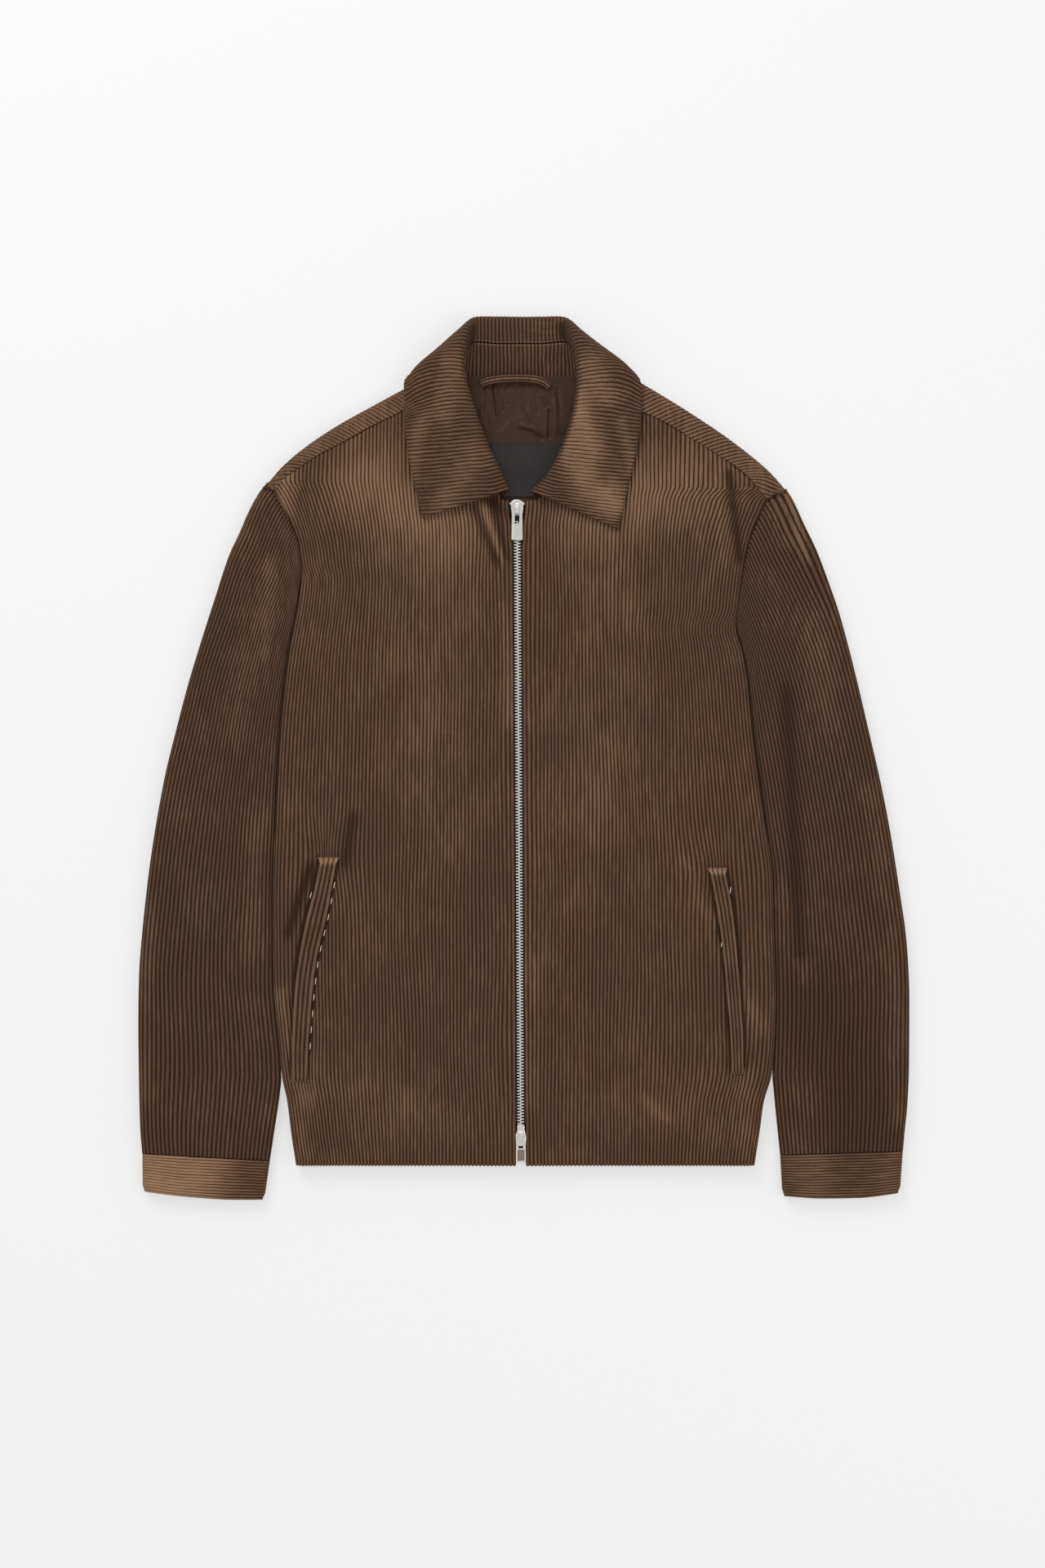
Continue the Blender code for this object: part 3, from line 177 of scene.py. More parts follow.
WELT = {
    "right": table(
        "up inner outer",
        (73.6, 183, 195.8), (96.5, 182, 196.5), (128.5, 179.8, 195.4), (154.5, 177.5, 193.8),
        (182, 173.7, 190), (214, 166, 183.8), (238.5, 161.5, 177.2), (264, 157, 172),
    ),
    "left": table(
        "up inner outer",
        (79.6, 183, 193.8), (112, 181.5, 193.2), (142, 179.2, 191.3), (168, 176.9, 189.3),
        (196, 173.9, 187), (222, 170, 184), (255, 163.9, 177.7),
    ),
}

# The collar, a row for each section from its front end to the middle of the back. The points are
# the middle of the cloth: the neck seam, the rise inside the neck, the crest of the roll, the turn
# of the leaf, its drape, and its outer edge, each as (out, up, high).
COLLAR_POINTS = "seam rise crest turn drape edge"
COLLAR_SECTIONS = {
    "right": (
        ((13.5, 576.5, 12.6), (9.5, 582, 17), (9.5, 582.5, 25.5),
         (26, 577, 25), (56, 567.5, 18.8), (84, 558.5, 18)),
        ((26, 600, 12.6), (17, 600, 18), (17, 600, 30),
         (33, 597, 30), (64, 588, 19.2), (88.5, 577, 18)),
        ((36.5, 621, 12.6), (26, 619, 19), (26, 619, 32),
         (44, 618, 31.5), (74, 612, 19.6), (94.5, 606, 18)),
        ((46, 643, 12.6), (35, 642, 20), (35, 642, 33),
         (53, 643, 32), (81, 640, 20), (98.8, 634.5, 18)),
        ((52.5, 661, 12.6), (42.5, 665, 20), (42.5, 665, 34),
         (60, 667, 32), (84, 664, 20.5), (99.3, 653, 17.8)),
        ((56, 669, 12.6), (46, 678, 20), (46, 679, 34),
         (64, 681, 32), (87, 678, 21), (99.5, 667, 17.3)),
        ((57, 675, 12.4), (47, 691, 20), (47, 693, 33),
         (66, 695, 31), (90, 690, 18), (96.5, 678.5, 9.5)),
        ((54, 679.5, 10), (46, 708, 19), (46, 710, 31),
         (60, 709, 28), (80, 700, 7), (76, 690, 2.4)),
        ((47, 680.2, 6.5), (42, 721, 16.5), (42.5, 725, 25),
         (50, 722, 21), (59, 715.5, 1.8), (55, 697, 1.8)),
        ((37, 680.2, 5.2), (37, 726.5, 14.5), (37, 731.5, 16),
         (40, 732.2, 3), (42, 722, 1.8), (39, 688, 1.8)),
        ((20, 680.2, 5), (20, 724, 13.5), (20, 732.66, 12.5),
         (20, 732.66, 1.8), (20, 712, 1.8), (20, 687, 1.8)),
    ),
    "left": (
        ((13, 576, 12.6), (9.5, 580.5, 17), (9.5, 581, 25.5),
         (27, 575, 25), (57, 561, 18.8), (85.5, 548.8, 18)),
        ((31, 594, 12.6), (22.5, 593, 18), (22.5, 593, 30),
         (40, 590, 30), (69, 577, 19.2), (90, 568, 18)),
        ((42.5, 611, 12.6), (32, 609, 19), (32, 609, 32),
         (50, 608, 31.5), (78, 598, 19.6), (96, 593, 18)),
        ((50, 629, 12.6), (39.5, 628, 20), (39.5, 628, 33),
         (58, 629, 32), (84, 623, 20), (101.5, 618, 18)),
        ((55, 648, 12.6), (45.5, 647, 20), (45.5, 647, 34),
         (63, 650, 32.5), (88, 647, 20.5), (104.7, 642, 17.8)),
        ((58.5, 664, 12.6), (49, 665, 20), (49, 665, 34),
         (66, 668, 32), (91, 668, 21), (105.2, 659, 17.5)),
        ((60, 675, 12.4), (49.5, 681, 20), (49.5, 683, 33),
         (68, 686, 31.5), (95, 688, 20), (103.5, 676, 15.8)),
        ((56, 679.5, 10), (48, 704, 19), (48, 706, 31),
         (63, 706, 28), (84, 700, 9), (85, 693, 5)),
        ((48, 680.2, 6.5), (42.5, 721, 16.5), (43, 724, 25),
         (51, 721.5, 21), (60, 715.5, 1.8), (57, 701, 1.8)),
        ((37, 680.2, 5.2), (37, 726.5, 14.5), (37, 731.5, 16),
         (40, 732.2, 3), (42, 722, 1.8), (39, 688, 1.8)),
        ((20, 680.2, 5), (20, 724, 13.5), (20, 732.66, 12.5),
         (20, 732.66, 1.8), (20, 712, 1.8), (20, 687, 1.8)),
    ),
}
COLLAR_MIDDLE = (
    (0, 680.2, 5), (0, 724, 13.5), (0, 732.66, 12.5),
    (0, 732.66, 1.8), (0, 712, 1.8), (0, 687, 1.8),
)
STAND_SHARE = 0.1  # of the way round a section, where the fall is sewn to the stand

# Broad soft creases of the front, as ridges (or, below zero, troughs) along a line: x and up of both
# ends, half the width, and the height.
CREASES = table(
    "x0 up0 x1 up1 half_wide high",
    (-38, 572, -12, 512, 9, 1.1), (-34, 490, -16, 448, 9, 0.9), (186, 600, 184, 520, 9, -1.3),
    (172, 590, 173, 530, 9, 0.7), (-203, 596, -206, 556, 9, 0.8), (-100, 420, -60, 250, 40, 0.6),
    (120, 380, 90, 200, 42, 0.6), (-130, 160, -90, 40, 36, 0.5), (140, 150, 110, 30, 36, 0.5),
)

LINING_HALF = 62.0
LINING_UP = (540.0, 678.6)
LABEL = {"x": (-25.0, 37.0), "up": (577.0, 624.0), "high": 9.0}
QUILT = 50.0  # between two rows of quilting, which slant both ways
QUILT_RISING, QUILT_FALLING = 653.6, 635.0  # where a row of each crosses the middle
QUILT_APART = 70.7  # between two rising rows, straight up
HANGER = table(
    "x up high",
    (-33, 675.3, 9.6), (-28, 677.1, 11.6), (-17, 679, 13), (0, 679.7, 13.4), (13, 678.8, 13),
    (21.5, 676.2, 11.6), (26, 672.7, 9.6),
)
HANGER_HALF_WIDE = 3.4
HANGER_HALF_THICK = 1.5


# ---------------------------------------------------------------- curves
def smoothstep(low, high, value):
    share = np.clip((np.asarray(value, float) - low) / (high - low), 0.0, 1.0)
    return share * share * (3.0 - 2.0 * share)


def bell(away, wide):
    """1 at nothing, fading to nothing a few widths away."""
    return np.exp(-((away / wide) ** 2))


def hermite(t, wide, start, start_slope, stop, stop_slope):
    """A cubic over a step of this width, with a value and a slope at each end."""
    return (
        start * (1 + 2 * t) * (1 - t) ** 2
        + start_slope * wide * t * (1 - t) ** 2
        + stop * t * t * (3 - 2 * t)
        + stop_slope * wide * t * t * (t - 1)
    )


def smooth_curve(knots, values, at):
    """A smooth curve through the values that never swings past them."""
    knots, values, at = (np.asarray(a, float) for a in (knots, values, at))
    step = np.diff(knots)
    slope = np.diff(values) / step
    tangent = np.empty_like(values)
    tangent[0], tangent[-1] = slope[0], slope[-1]
    before, after = slope[:-1], slope[1:]
    weight_a, weight_b = 2 * step[1:] + step[:-1], step[1:] + 2 * step[:-1]
    same_way = before * after > 0
    safe_before, safe_after = np.where(same_way, before, 1.0), np.where(same_way, after, 1.0)
    mean = (weight_a + weight_b) / (weight_a / safe_before + weight_b / safe_after)
    tangent[1:-1] = np.where(same_way, mean, 0.0)
    at = np.clip(at, knots[0], knots[-1])
    i = np.clip(np.searchsorted(knots, at, side="right") - 1, 0, len(step) - 1)
    t = (at - knots[i]) / step[i]
    return hermite(t, step[i], values[i], tangent[i], values[i + 1], tangent[i + 1])


def through_points(points, count_between):
    """A Catmull-Rom curve through the points, with so many steps between each pair."""
    points = np.asarray(points, float)
    padded = np.concatenate([2 * points[:1] - points[1:2], points, 2 * points[-1:] - points[-2:-1]])
    found = []
    for i in range(1, len(padded) - 2):
        for step in range(count_between):
            t = step / count_between
            a, b, c, d = padded[i - 1 : i + 3]
            found.append(
                0.5 * (2 * b + (c - a) * t + (2 * a - 5 * b + 4 * c - d) * t**2 + (3 * b - a - 3 * c + d) * t**3)
            )
    return np.array(found + [points[-1]])


def blend_weights(count, at):
    """Weights of a clamped cubic B-spline's control points at each place along it."""
    degree = 3
    knots = np.concatenate([np.zeros(degree), np.linspace(0, 1, count - degree + 1), np.ones(degree)])
    at = np.clip(np.asarray(at, float), 0.0, 1.0 - 1e-9)
    basis = [(at >= knots[i]) & (at < knots[i + 1]) for i in range(len(knots) - 1)]
    basis = [b.astype(float) for b in basis]
    for d in range(1, degree + 1):
        following = []
        for i in range(len(basis) - 1):
            rise, fall = knots[i + d] - knots[i], knots[i + d + 1] - knots[i + 1]
            left = (at - knots[i]) / rise * basis[i] if rise > 0 else 0.0
            right = (knots[i + d + 1] - at) / fall * basis[i + 1] if fall > 0 else 0.0
            following.append(left + right)
        basis = following
    return np.stack(basis, axis=-1)


# ---------------------------------------------------------------- the garment's lines
def zip_x(up):
    return ZIP_LEAN[0] + (ZIP_LEAN[1] - ZIP_LEAN[0]) * np.asarray(up, float) / ZIP_TOP


def front_edge_x(side, up):
    """The fold beside the zip, which opens a little round the upper slider."""
    return zip_x(up) + SIGN[side] * (SLOT_HALF + 2.2 * smoothstep(550, 570, up))


def body_edge_x(side, up):
    edge = BODY_EDGE[side]
    return SIGN[side] * smooth_curve(edge["up"], edge["out"], up)


def sleeve_inner_x(side, up):
    free = SLEEVE_INNER[side]
    clear = smooth_curve(free["up"], free["out"], up)
    beside = abs(body_edge_x(side, up)) + 2 * SEAM_GAP
    return SIGN[side] * np.where(up < free["up"][-1], np.maximum(clear, beside), beside)


def neckline(side):
    """(out, up) of the front's neck seam, from the zip to the shoulder."""
    seams = [(section[0][0], section[0][1]) for section in COLLAR_SECTIONS[side][:7]]
    return np.array([(out + NECK_GAP * 0.8, up - NECK_GAP * 0.75) for out, up in seams])


def front_top_up(side, x):
    """How high the front reaches: the neckline near the zip, then the shoulder seam."""
    out = SIGN[side] * np.asarray(x, float)
    neck, seam = neckline(side), SHOULDER_SEAM[side]
    neck = np.vstack([(0.0, ZIP_TOP - 1.0), neck])
    on_neck = np.interp(out, neck[:, 0], neck[:, 1])
    on_shoulder = smooth_curve(seam["out"], seam["up"], out) - SEAM_GAP
    return np.minimum(on_neck, on_shoulder)


def from_zip_edge(side, x, up):
    return SIGN[side] * (np.asarray(x, float) - front_edge_x(side, up))


def edge_rounding(side, x, up):
    """How far the front's fold beside the zip rounds down."""
    return 1.2 * (1 - smoothstep(0, 5, from_zip_edge(side, x, up))) ** 2


def front_high(side, x, up):
    """Height of the front's outer surface away from its side fold."""
    from_zip = from_zip_edge(side, x, up)
    from_side = abs(body_edge_x(side, up)) - abs(np.asarray(x, float))
    # Away from the zip and the side the hem lies down on the back.
    settled = 1.6 * (1 - smoothstep(0, 34, up)) * smoothstep(15, 50, from_zip) * smoothstep(9, 40, from_side)
    return BODY_THICK - settled - edge_rounding(side, x, up) + strokes(CREASES, x, up)


def wall_at(side, x, up):
    """The front loses its wadding towards the zip."""
    padding = (PADDED_WALL - EDGE_WALL) * smoothstep(14, 40, from_zip_edge(side, x, up))
    return EDGE_WALL + padding - edge_rounding(side, x, up)


def underarm_share(side, up):
    """1 where the side is a fold, falling to 0 where the sleeve is sewn in."""
    start = UNDERARM_UP[side]
    return 1.0 - smoothstep(start - 4, start + 18, up)


def side_turn(side, up):
    """How far a body panel turns round its side: a quarter turn at the fold, little beside a sleeve."""
    return np.radians(14 + 76 * underarm_share(side, up))


# ---------------------------------------------------------------- sizes for the cloth's surface, mm
RIB_COLUMNS = 6  # steps of a surface across one rib
FRONT_RIBS = 62  # from the zip to where the side turns down
FOLD_RIBS = 4  # round a side fold
BACK_RIBS = 66  # a side, from the middle
SLEEVE_RIBS = 66  # all the way round
SLEEVE_LONG = 480.0
BACK_PITCH = 3.1
CUFF_PITCH = 2.45
COLLAR_PITCH = 3.35
COLLAR_ROW = 0.56  # between two rows of its surface
CUFF_COLUMNS = 128
WELT_RIBS = 4
SEEDS = {"right": (5, 22, 32, 7), "left": (3, 21, 31, 6)}  # a side's sway, waves, puckers and sleeve
SEAM_SHARE = 0.0012  # how far each collar piece stops short of the seam between them

# Small creases and puckers in the cloth: a line's two ends, half its width, and its height, which is
# below zero for a furrow.
FINE_CREASES = table(
    "x0 up0 x1 up1 half_wide high",
    (-40, 576, -14, 512, 5, 0.8), (-30, 568, -13, 530, 3, -0.7), (-26, 492, -12, 452, 6, 0.7),
    (-22, 470, -10, 440, 4, -0.5), (-60, 560, -50, 470, 14, 0.6), (-100, 560, -92, 420, 20, 0.5),
    (30, 560, 24, 470, 9, 0.5), (60, 520, 52, 400, 16, 0.45), (110, 560, 100, 440, 18, 0.45),
    (184, 604, 183, 526, 4, -1.3), (175, 596, 178, 530, 5, 0.9), (191, 590, 190, 528, 4, 0.7),
    (-184, 600, -196, 540, 5, 0.7), (-176, 600, -188, 548, 4, -0.6), (-196, 596, -203, 566, 4, 0.6),
    (-205, 150, -190, 92, 4, 0.9), (-212, 138, -197, 82, 3, -0.8), (-200, 128, -188, 78, 3, -0.6),
    (-206, 116, -196, 70, 4, 0.8), (-178, 262, -192, 222, 3.5, -1.4), (-192, 222, -202, 160, 3, -0.8),
    (-170, 272, -178, 310, 5, 0.7), (-186, 262, -202, 222, 5, 0.8), (-158, 270, -150, 318, 4, -0.7),
    (-152, 262, -140, 300, 5, 0.7), (190, 168, 206, 122, 4, 0.9), (196, 158, 208, 112, 3, -0.8),
    (186, 140, 198, 96, 4, 0.6), (142, 264, 164, 214, 5, 1.0), (150, 262, 171, 218, 3, -0.8),
    (134, 250, 156, 196, 5, 0.5), (108, 58, 127, 40, 6, 0.9), (118, 66, 138, 40, 4, -0.6),
    (-60, 40, -20, 22, 8, 0.4), (-18, 260, -8, 200, 6, 0.5), (-16, 330, -8, 290, 6, 0.4),
    (22, 180, 10, 120, 6, 0.45), (-20, 110, -8, 70, 6, 0.5), (20, 390, 10, 340, 6, 0.4),
    (-70, 330, -60, 150, 26, 0.5), (80, 330, 70, 150, 24, 0.5), (-150, 470, -140, 300, 26, 0.5),
    (160, 470, 150, 330, 24, 0.5), (-150, 90, -130, 10, 14, 0.5), (60, 100, 50, 8, 14, 0.5),
    (-200, 440, -190, 300, 9, 0.5), (203, 420, 200, 300, 9, 0.5),
)
# Where seams draw the front's ribs together: the middle, half of the width and height of the part
# that they reach, and how much closer the ribs come, which is below zero where they spread.
PINCHES = table(
    "x up half_wide half_tall share",
    (-168, 266, 24, 30, 0.42), (-192, 74, 20, 26, 0.25), (172, 256, 22, 28, 0.34), (190, 82, 18, 26, 0.22),
    (-26, 548, 13, 34, 0.3), (24, 540, 14, 40, 0.16), (-192, 150, 16, 46, -0.16), (194, 160, 14, 40, -0.14),
    (186, 560, 16, 44, 0.25), (-188, 560, 16, 44, 0.22), (-120, 420, 50, 70, -0.06), (110, 300, 50, 90, 0.07),
    (-110, 200, 50, 80, 0.06), (120, 80, 46, 50, -0.06), (-60, 90, 40, 60, 0.06),
)
# The same for the top of both sleeves.
SLEEVE_CREASES = table(
    "x0 up0 x1 up1 half_wide high",
    (232, 580, 246, 528, 5, 1.0), (224, 570, 236, 520, 4, -0.8), (214, 560, 222, 480, 7, 0.8),
    (206, 500, 214, 430, 6, 0.9), (228, 500, 240, 400, 12, 0.7), (262, 500, 276, 420, 9, -0.5),
    (221, 232, 246, 160, 6, 1.0), (224, 214, 240, 150, 4, -0.9), (228, 170, 238, 90, 8, 0.7),
    (250, 420, 262, 300, 14, 0.7), (286, 380, 300, 260, 10, 0.6), (300, 300, 312, 200, 8, -0.5),
    (240, 330, 250, 240, 10, 0.6), (270, 240, 276, 120, 14, 0.7), (306, 180, 308, 60, 9, 0.6),
    (240, 90, 242, 20, 10, 0.7), (290, 110, 292, 20, 10, -0.5), (262, 60, 262, 16, 7, 0.6),
    (-240, 560, -250, 500, 6, 0.9), (-226, 570, -238, 520, 5, -0.7), (-214, 540, -222, 470, 8, 0.8),
    (-204, 480, -212, 410, 6, 0.9), (-232, 470, -244, 380, 12, 0.7), (-262, 500, -276, 430, 8, 0.6),
    (-250, 400, -262, 300, 14, 0.7), (-284, 380, -298, 270, 9, -0.5), (-232, 300, -240, 200, 10, 0.7),
    (-270, 260, -276, 140, 14, 0.7), (-300, 240, -310, 140, 9, 0.6), (-226, 140, -232, 60, 9, 0.8),
    (-240, 120, -240, 40, 6, -0.6), (-300, 100, -304, 20, 9, 0.6), (-268, 70, -266, 14, 9, 0.6),
)
# Folds of the collar leaves.
LEAF_CREASES = table(
    "x0 up0 x1 up1 half_wide high",
    (46, 640, 84, 566, 9, 1.6), (40, 612, 62, 570, 5, -0.9), (70, 640, 96, 600, 6, -0.7),
    (-30, 600, -60, 572, 10, 0.8), (-56, 640, -90, 600, 8, 0.6), (-70, 670, -92, 640, 6, -0.6),
)
# Painted light on the pile: painted highlights where the amount is above nothing, and painted shade in creases and
# painted shadow beside the welt and the seams where it is below. A line's ends, half its width, and how light.
BODY_PAINTED_LIGHT = table(
    "x0 up0 x1 up1 half_wide amount",
    (-31, 570, -14, 522, 3, 0.6), (-38, 566, -19, 520, 3.4, -0.55), (-22, 574, -12, 524, 4.2, -0.5),
    (181, 597, 190, 524, 3.6, -0.5), (-6, 560, -30, 575, 4, -0.3), (-180, 258, -200, 200, 4, -0.5),
    (-150, 262, -144, 300, 5, -0.4), (-150, 240, -140, 200, 12, 0.14), (-130, 590, -60, 550, 36, 0.6),
    (60, 560, 146, 590, 36, 0.5), (-200, 600, -204, 566, 9, 0.6), (-90, 480, -60, 300, 44, 0.16),
    (90, 480, 60, 300, 44, 0.14), (140, 266, 166, 210, 5, 0.2), (108, 58, 126, 41, 5, 0.25),
    (-206, 150, -192, 76, 7, 0.3), (188, 168, 206, 118, 7, 0.3), (-12, 480, -8, 380, 7, 0.25),
    (12, 180, 9, 60, 8, 0.2), (-130, 60, -60, 30, 26, 0.2), (-186, 120, -176, 60, 12, 0.2),
    (178, 560, 176, 520, 7, 0.25), (60, 60, 160, 30, 20, 0.16), (196, 80, 196, 20, 10, 0.25),
    (-188, 60, -186, 10, 8, 0.25),
)
# The same for the sleeves: painted highlights, and painted shade where the amount is below nothing.
SLEEVE_PAINTED_LIGHT = table(
    "x0 up0 x1 up1 half_wide amount",
    (232, 582, 247, 524, 4, 0.55), (220, 575, 236, 540, 9, 0.25), (231, 410, 241, 185, 6.5, -0.34),
    (300, 330, 318, 230, 8, 0.12), (250, 470, 268, 380, 16, 0.2), (224, 232, 246, 160, 9, 0.12),
    (322, 200, 326, 40, 7, 0.18), (250, 150, 300, 30, 38, -0.15), (-228, 580, -246, 540, 9, 0.25),
    (-230, 470, -246, 380, 14, 0.2), (-318, 230, -324, 60, 6, 0.2), (-215, 520, -220, 440, 7, 0.3),
    (-226, 300, -232, 180, 9, 0.2), (246, 60, 244, 16, 14, 0.15),
)
# The same for the collar leaves: painted highlights, and a little painted shade.
LEAF_PAINTED_LIGHT = table(
    "x0 up0 x1 up1 half_wide amount",
    (46, 660, 78, 572, 15, 0.85), (40, 620, 56, 580, 10, 0.5), (60, 690, 74, 664, 12, 0.45),
    (88, 640, 98, 600, 6, 0.35), (-40, 610, -60, 575, 16, 0.4), (-56, 690, -66, 650, 12, 0.35),
    (-84, 640, -94, 590, 7, 0.3), (70, 604, 72, 596, 9, -0.5),
)
# Painted shadow inside the neck, along the fold of each leaf.
NECK_PAINTED_SHADOW = table(
    "x0 up0 x1 up1 half_wide amount",
    (37, 724, 45, 682, 3.6, -0.45), (-40, 722, -44, 698, 2.8, -0.35),
)
# The same for the cuffs: painted highlights.
CUFF_PAINTED_LIGHT = table(
    "x0 up0 x1 up1 half_wide amount",
    (-322, 4, -322, -26, 34, 0.85), (-270, 4, -280, -28, 26, 0.7), (252, 2, 262, -28, 22, 0.3),
    (320, 4, 318, -24, 16, 0.25),
)


def strokes(lines, x, up):
    """The sum of soft strokes at each point."""
    total = np.zeros(np.broadcast(x, up).shape)
    for x0, up0, x1, up1, half_wide, amount in zip(*lines.values()):
        along = np.array([x1 - x0, up1 - up0])
        share = ((x - x0) * along[0] + (up - up0) * along[1]) / (along @ along)
        inside = np.clip(share, 0.0, 1.0)
        away = np.hypot(x - x0 - inside * along[0], up - up0 - inside * along[1])
        total = total + amount * bell(away, half_wide)
    return total


def ripple(x, up, seed, long):
    """Smooth uneven waves of about this length, mostly between -1 and 1."""
    draw = np.random.default_rng(seed)
    total = np.zeros(np.broadcast(x, up).shape)
    for _ in range(8):
        turn, phase = draw.uniform(0, 2 * math.pi, 2)
        rate = 2 * math.pi / (long * draw.uniform(0.7, 1.6))
        total = total + np.sin(rate * (x * math.cos(turn) + up * math.sin(turn)) + phase)
    return total / 4.0


def rib_height(phase):
    """The round top of each rib, 0 in the furrow and 1 on the crown."""
    return np.abs(np.sin(np.pi * phase)) ** 0.8


def rounded_drop(distance, radius):
    """How far a folded edge of this radius has turned down at a distance from its rim."""
    inside = 1 - np.clip(np.asarray(distance, float) / radius, 0, 1)
    return radius * (1 - np.sqrt(np.clip(1 - inside**2, 0, 1)))


# ---------------------------------------------------------------- meshes
def to_frame(points):
    """From the cutting frame in millimetres to the object's frame in metres."""
    return (np.asarray(points, float) - (CENTRE_OUT, CENTRE_UP, 0.0)) * MM


def linked(name, data):
    """An object of this data, in the scene."""
    thing = bpy.data.objects.new(name, data)
    bpy.context.scene.collection.objects.link(thing)
    return thing


def make_object(name, points, faces, material, values=None):
    """A piece at the origin from points in the cutting frame."""
    data = bpy.data.meshes.new(name)
    data.from_pydata(to_frame(points).tolist(), [], faces)
    for key, value in (values or {}).items():
        data.attributes.new(key, "FLOAT", "POINT").data.foreach_set("value", np.asarray(value, np.float32))
    data.materials.append(material)
    data.shade_smooth()
    data.update()
    return linked(name, data)


def coarse_steps(count, skip, closed):
    steps = list(range(0, count, skip))
    if not closed and steps[-1] != count - 1:
        steps.append(count - 1)
    return np.array(steps)


def cloth(name, surface, wall, material, rib, nap_and_painted_light, rib_high=0.6, closed=False, skip=(4, 6), faces_down=False):
    """A closed wall of cloth: a fine ribbed skin, and a plain one a wall's thickness behind it.

    The surface is a grid of points on the crowns of the ribs, which stand outwards on a tube, and
    otherwise on top, or below where faces_down is true.
    """
    rows, cols = surface.shape[:2]
    normal = grid_normals(surface, closed)
    if closed:
        up_side = np.sign((normal * (surface - surface.mean(axis=1, keepdims=True))).sum())
    else:
        up_side = np.sign(normal[rows // 2, min(cols // 3, 4), 2]) * (-1 if faces_down else 1)
    normal = normal * up_side
    nap_and_painted_light = np.broadcast_to(nap_and_painted_light, (rows, cols))
    # Where the nap and painted light is below nothing it is painted shade: the ribs there are lower, and darker in
    # the material.
    rib = np.broadcast_to(rib, (rows, cols)) * (1 + np.clip(nap_and_painted_light, -0.9, 0))
    outer = surface - normal * ((1 - rib) * rib_high)[..., None]
    near, across = coarse_steps(rows, skip[0], False), coarse_steps(cols, skip[1], closed)
    wall = np.broadcast_to(wall, (rows, cols))[..., None]
    inner = (surface - normal * wall)[np.ix_(near, across)]
    base, width = rows * cols, len(across)
    index = np.arange(base).reshape(rows, cols)
    back_index = base + np.arange(len(near) * width).reshape(len(near), width)

    def quads(ids, turned):
        right = np.roll(ids, -1, axis=1) if closed else ids[:, 1:]
        left = ids if closed else ids[:, :-1]
        ring = np.stack([left[:-1], right[:-1], right[1:], left[1:]], axis=-1).reshape(-1, 4)
        return ring[:, ::-1] if turned else ring

    faces = quads(index, False).tolist() + quads(back_index, True).tolist()
    ends = [*across[1:], cols]
    spans = [(across[k], ends[k], k) for k in range(width if closed else width - 1)]
    for row, back_row, first in ((0, 0, True), (rows - 1, len(near) - 1, False)):
        for start, stop, k in spans:
            fine = [int(index[row, c % cols]) for c in range(start, stop + 1)]
            pair = [int(back_index[back_row, k]), int(back_index[back_row, (k + 1) % width])]
            faces.append(fine[::-1] + pair if first else fine + pair[::-1])
    if not closed:
        for col, back_col, first in ((0, 0, True), (cols - 1, width - 1, False)):
            for k in range(len(near) - 1):
                fine = [int(index[r, col]) for r in range(near[k], near[k + 1] + 1)]
                pair = [int(back_index[k, back_col]), int(back_index[k + 1, back_col])]
                faces.append(fine + pair[::-1] if first else fine[::-1] + pair)
    if up_side < 0:
        faces = [face[::-1] for face in faces]
    points = np.concatenate([outer.reshape(-1, 3), inner.reshape(-1, 3)])
    plain = np.full(inner.shape[0] * inner.shape[1], 0.4)
    values = {"rib": np.concatenate([rib.ravel(), plain]), "nap_and_painted_light": np.concatenate([nap_and_painted_light.ravel(), plain * 0])}
    return make_object(name, points, faces, material, values)


def keep(piece, node, body=ROOT):
    """The piece stands for a solid, moves with its body and has its finish."""
    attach(piece, body)
    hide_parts(node)
    return piece


def slopes(grid, axis, closed):
    """The direction of a grid of points along one axis, true to the second order where steps differ."""
    grid = np.moveaxis(grid, axis, 0)
    if closed:
        grid = np.concatenate([grid[-1:], grid, grid[:1]])
    step = np.diff(grid, axis=0)
    long = np.maximum(np.linalg.norm(step, axis=2, keepdims=True), 1e-6)
    rate = step / long
    before, after = long[:-1], long[1:]
    inner = (rate[:-1] * after + rate[1:] * before) / (before + after)
    if not closed:
        first = rate[:1] + (rate[:1] - rate[1:2]) * long[:1] / (long[:1] + long[1:2])
        last = rate[-1:] + (rate[-1:] - rate[-2:-1]) * long[-1:] / (long[-1:] + long[-2:-1])
        inner = np.concatenate([first, inner, last])
    return np.moveaxis(inner, 0, axis)


def grid_normals(grid, closed):
    """Normals of a grid of points, which may close on itself across."""
    normal = np.cross(slopes(grid, 1, closed), slopes(grid, 0, False))
    return normal / np.maximum(np.linalg.norm(normal, axis=2, keepdims=True), 1e-9)


def flat_end_x(side, up):
    """Where a body panel starts to turn down or up round its side."""
    return body_edge_x(side, up) - SIGN[side] * BODY_THICK / 2 * np.sin(side_turn(side, up))


def side_fold(side, up, flat_high, joined_high):
    """Points round a side fold: rows of (x, height) from the flat of the panel to its edge."""
    angles = side_turn(side, up)[:, None] * (FOLD_ANGLES / FOLD_ANGLES[-1])[None, :]
    x = flat_end_x(side, up)[:, None] + SIGN[side] * BODY_THICK / 2 * np.sin(angles)
    drop = (flat_high - joined_high)[:, None] * (1 - np.cos(angles))
    return x, drop


def wale_x(start, end, side, share):
    """A thread line of a panel: straight near the middle, and bending with the side edge beside it."""
    reference = SIGN[side] * 200.0
    straight = start + (reference - start) * share
    return straight + (end - reference) * share**3


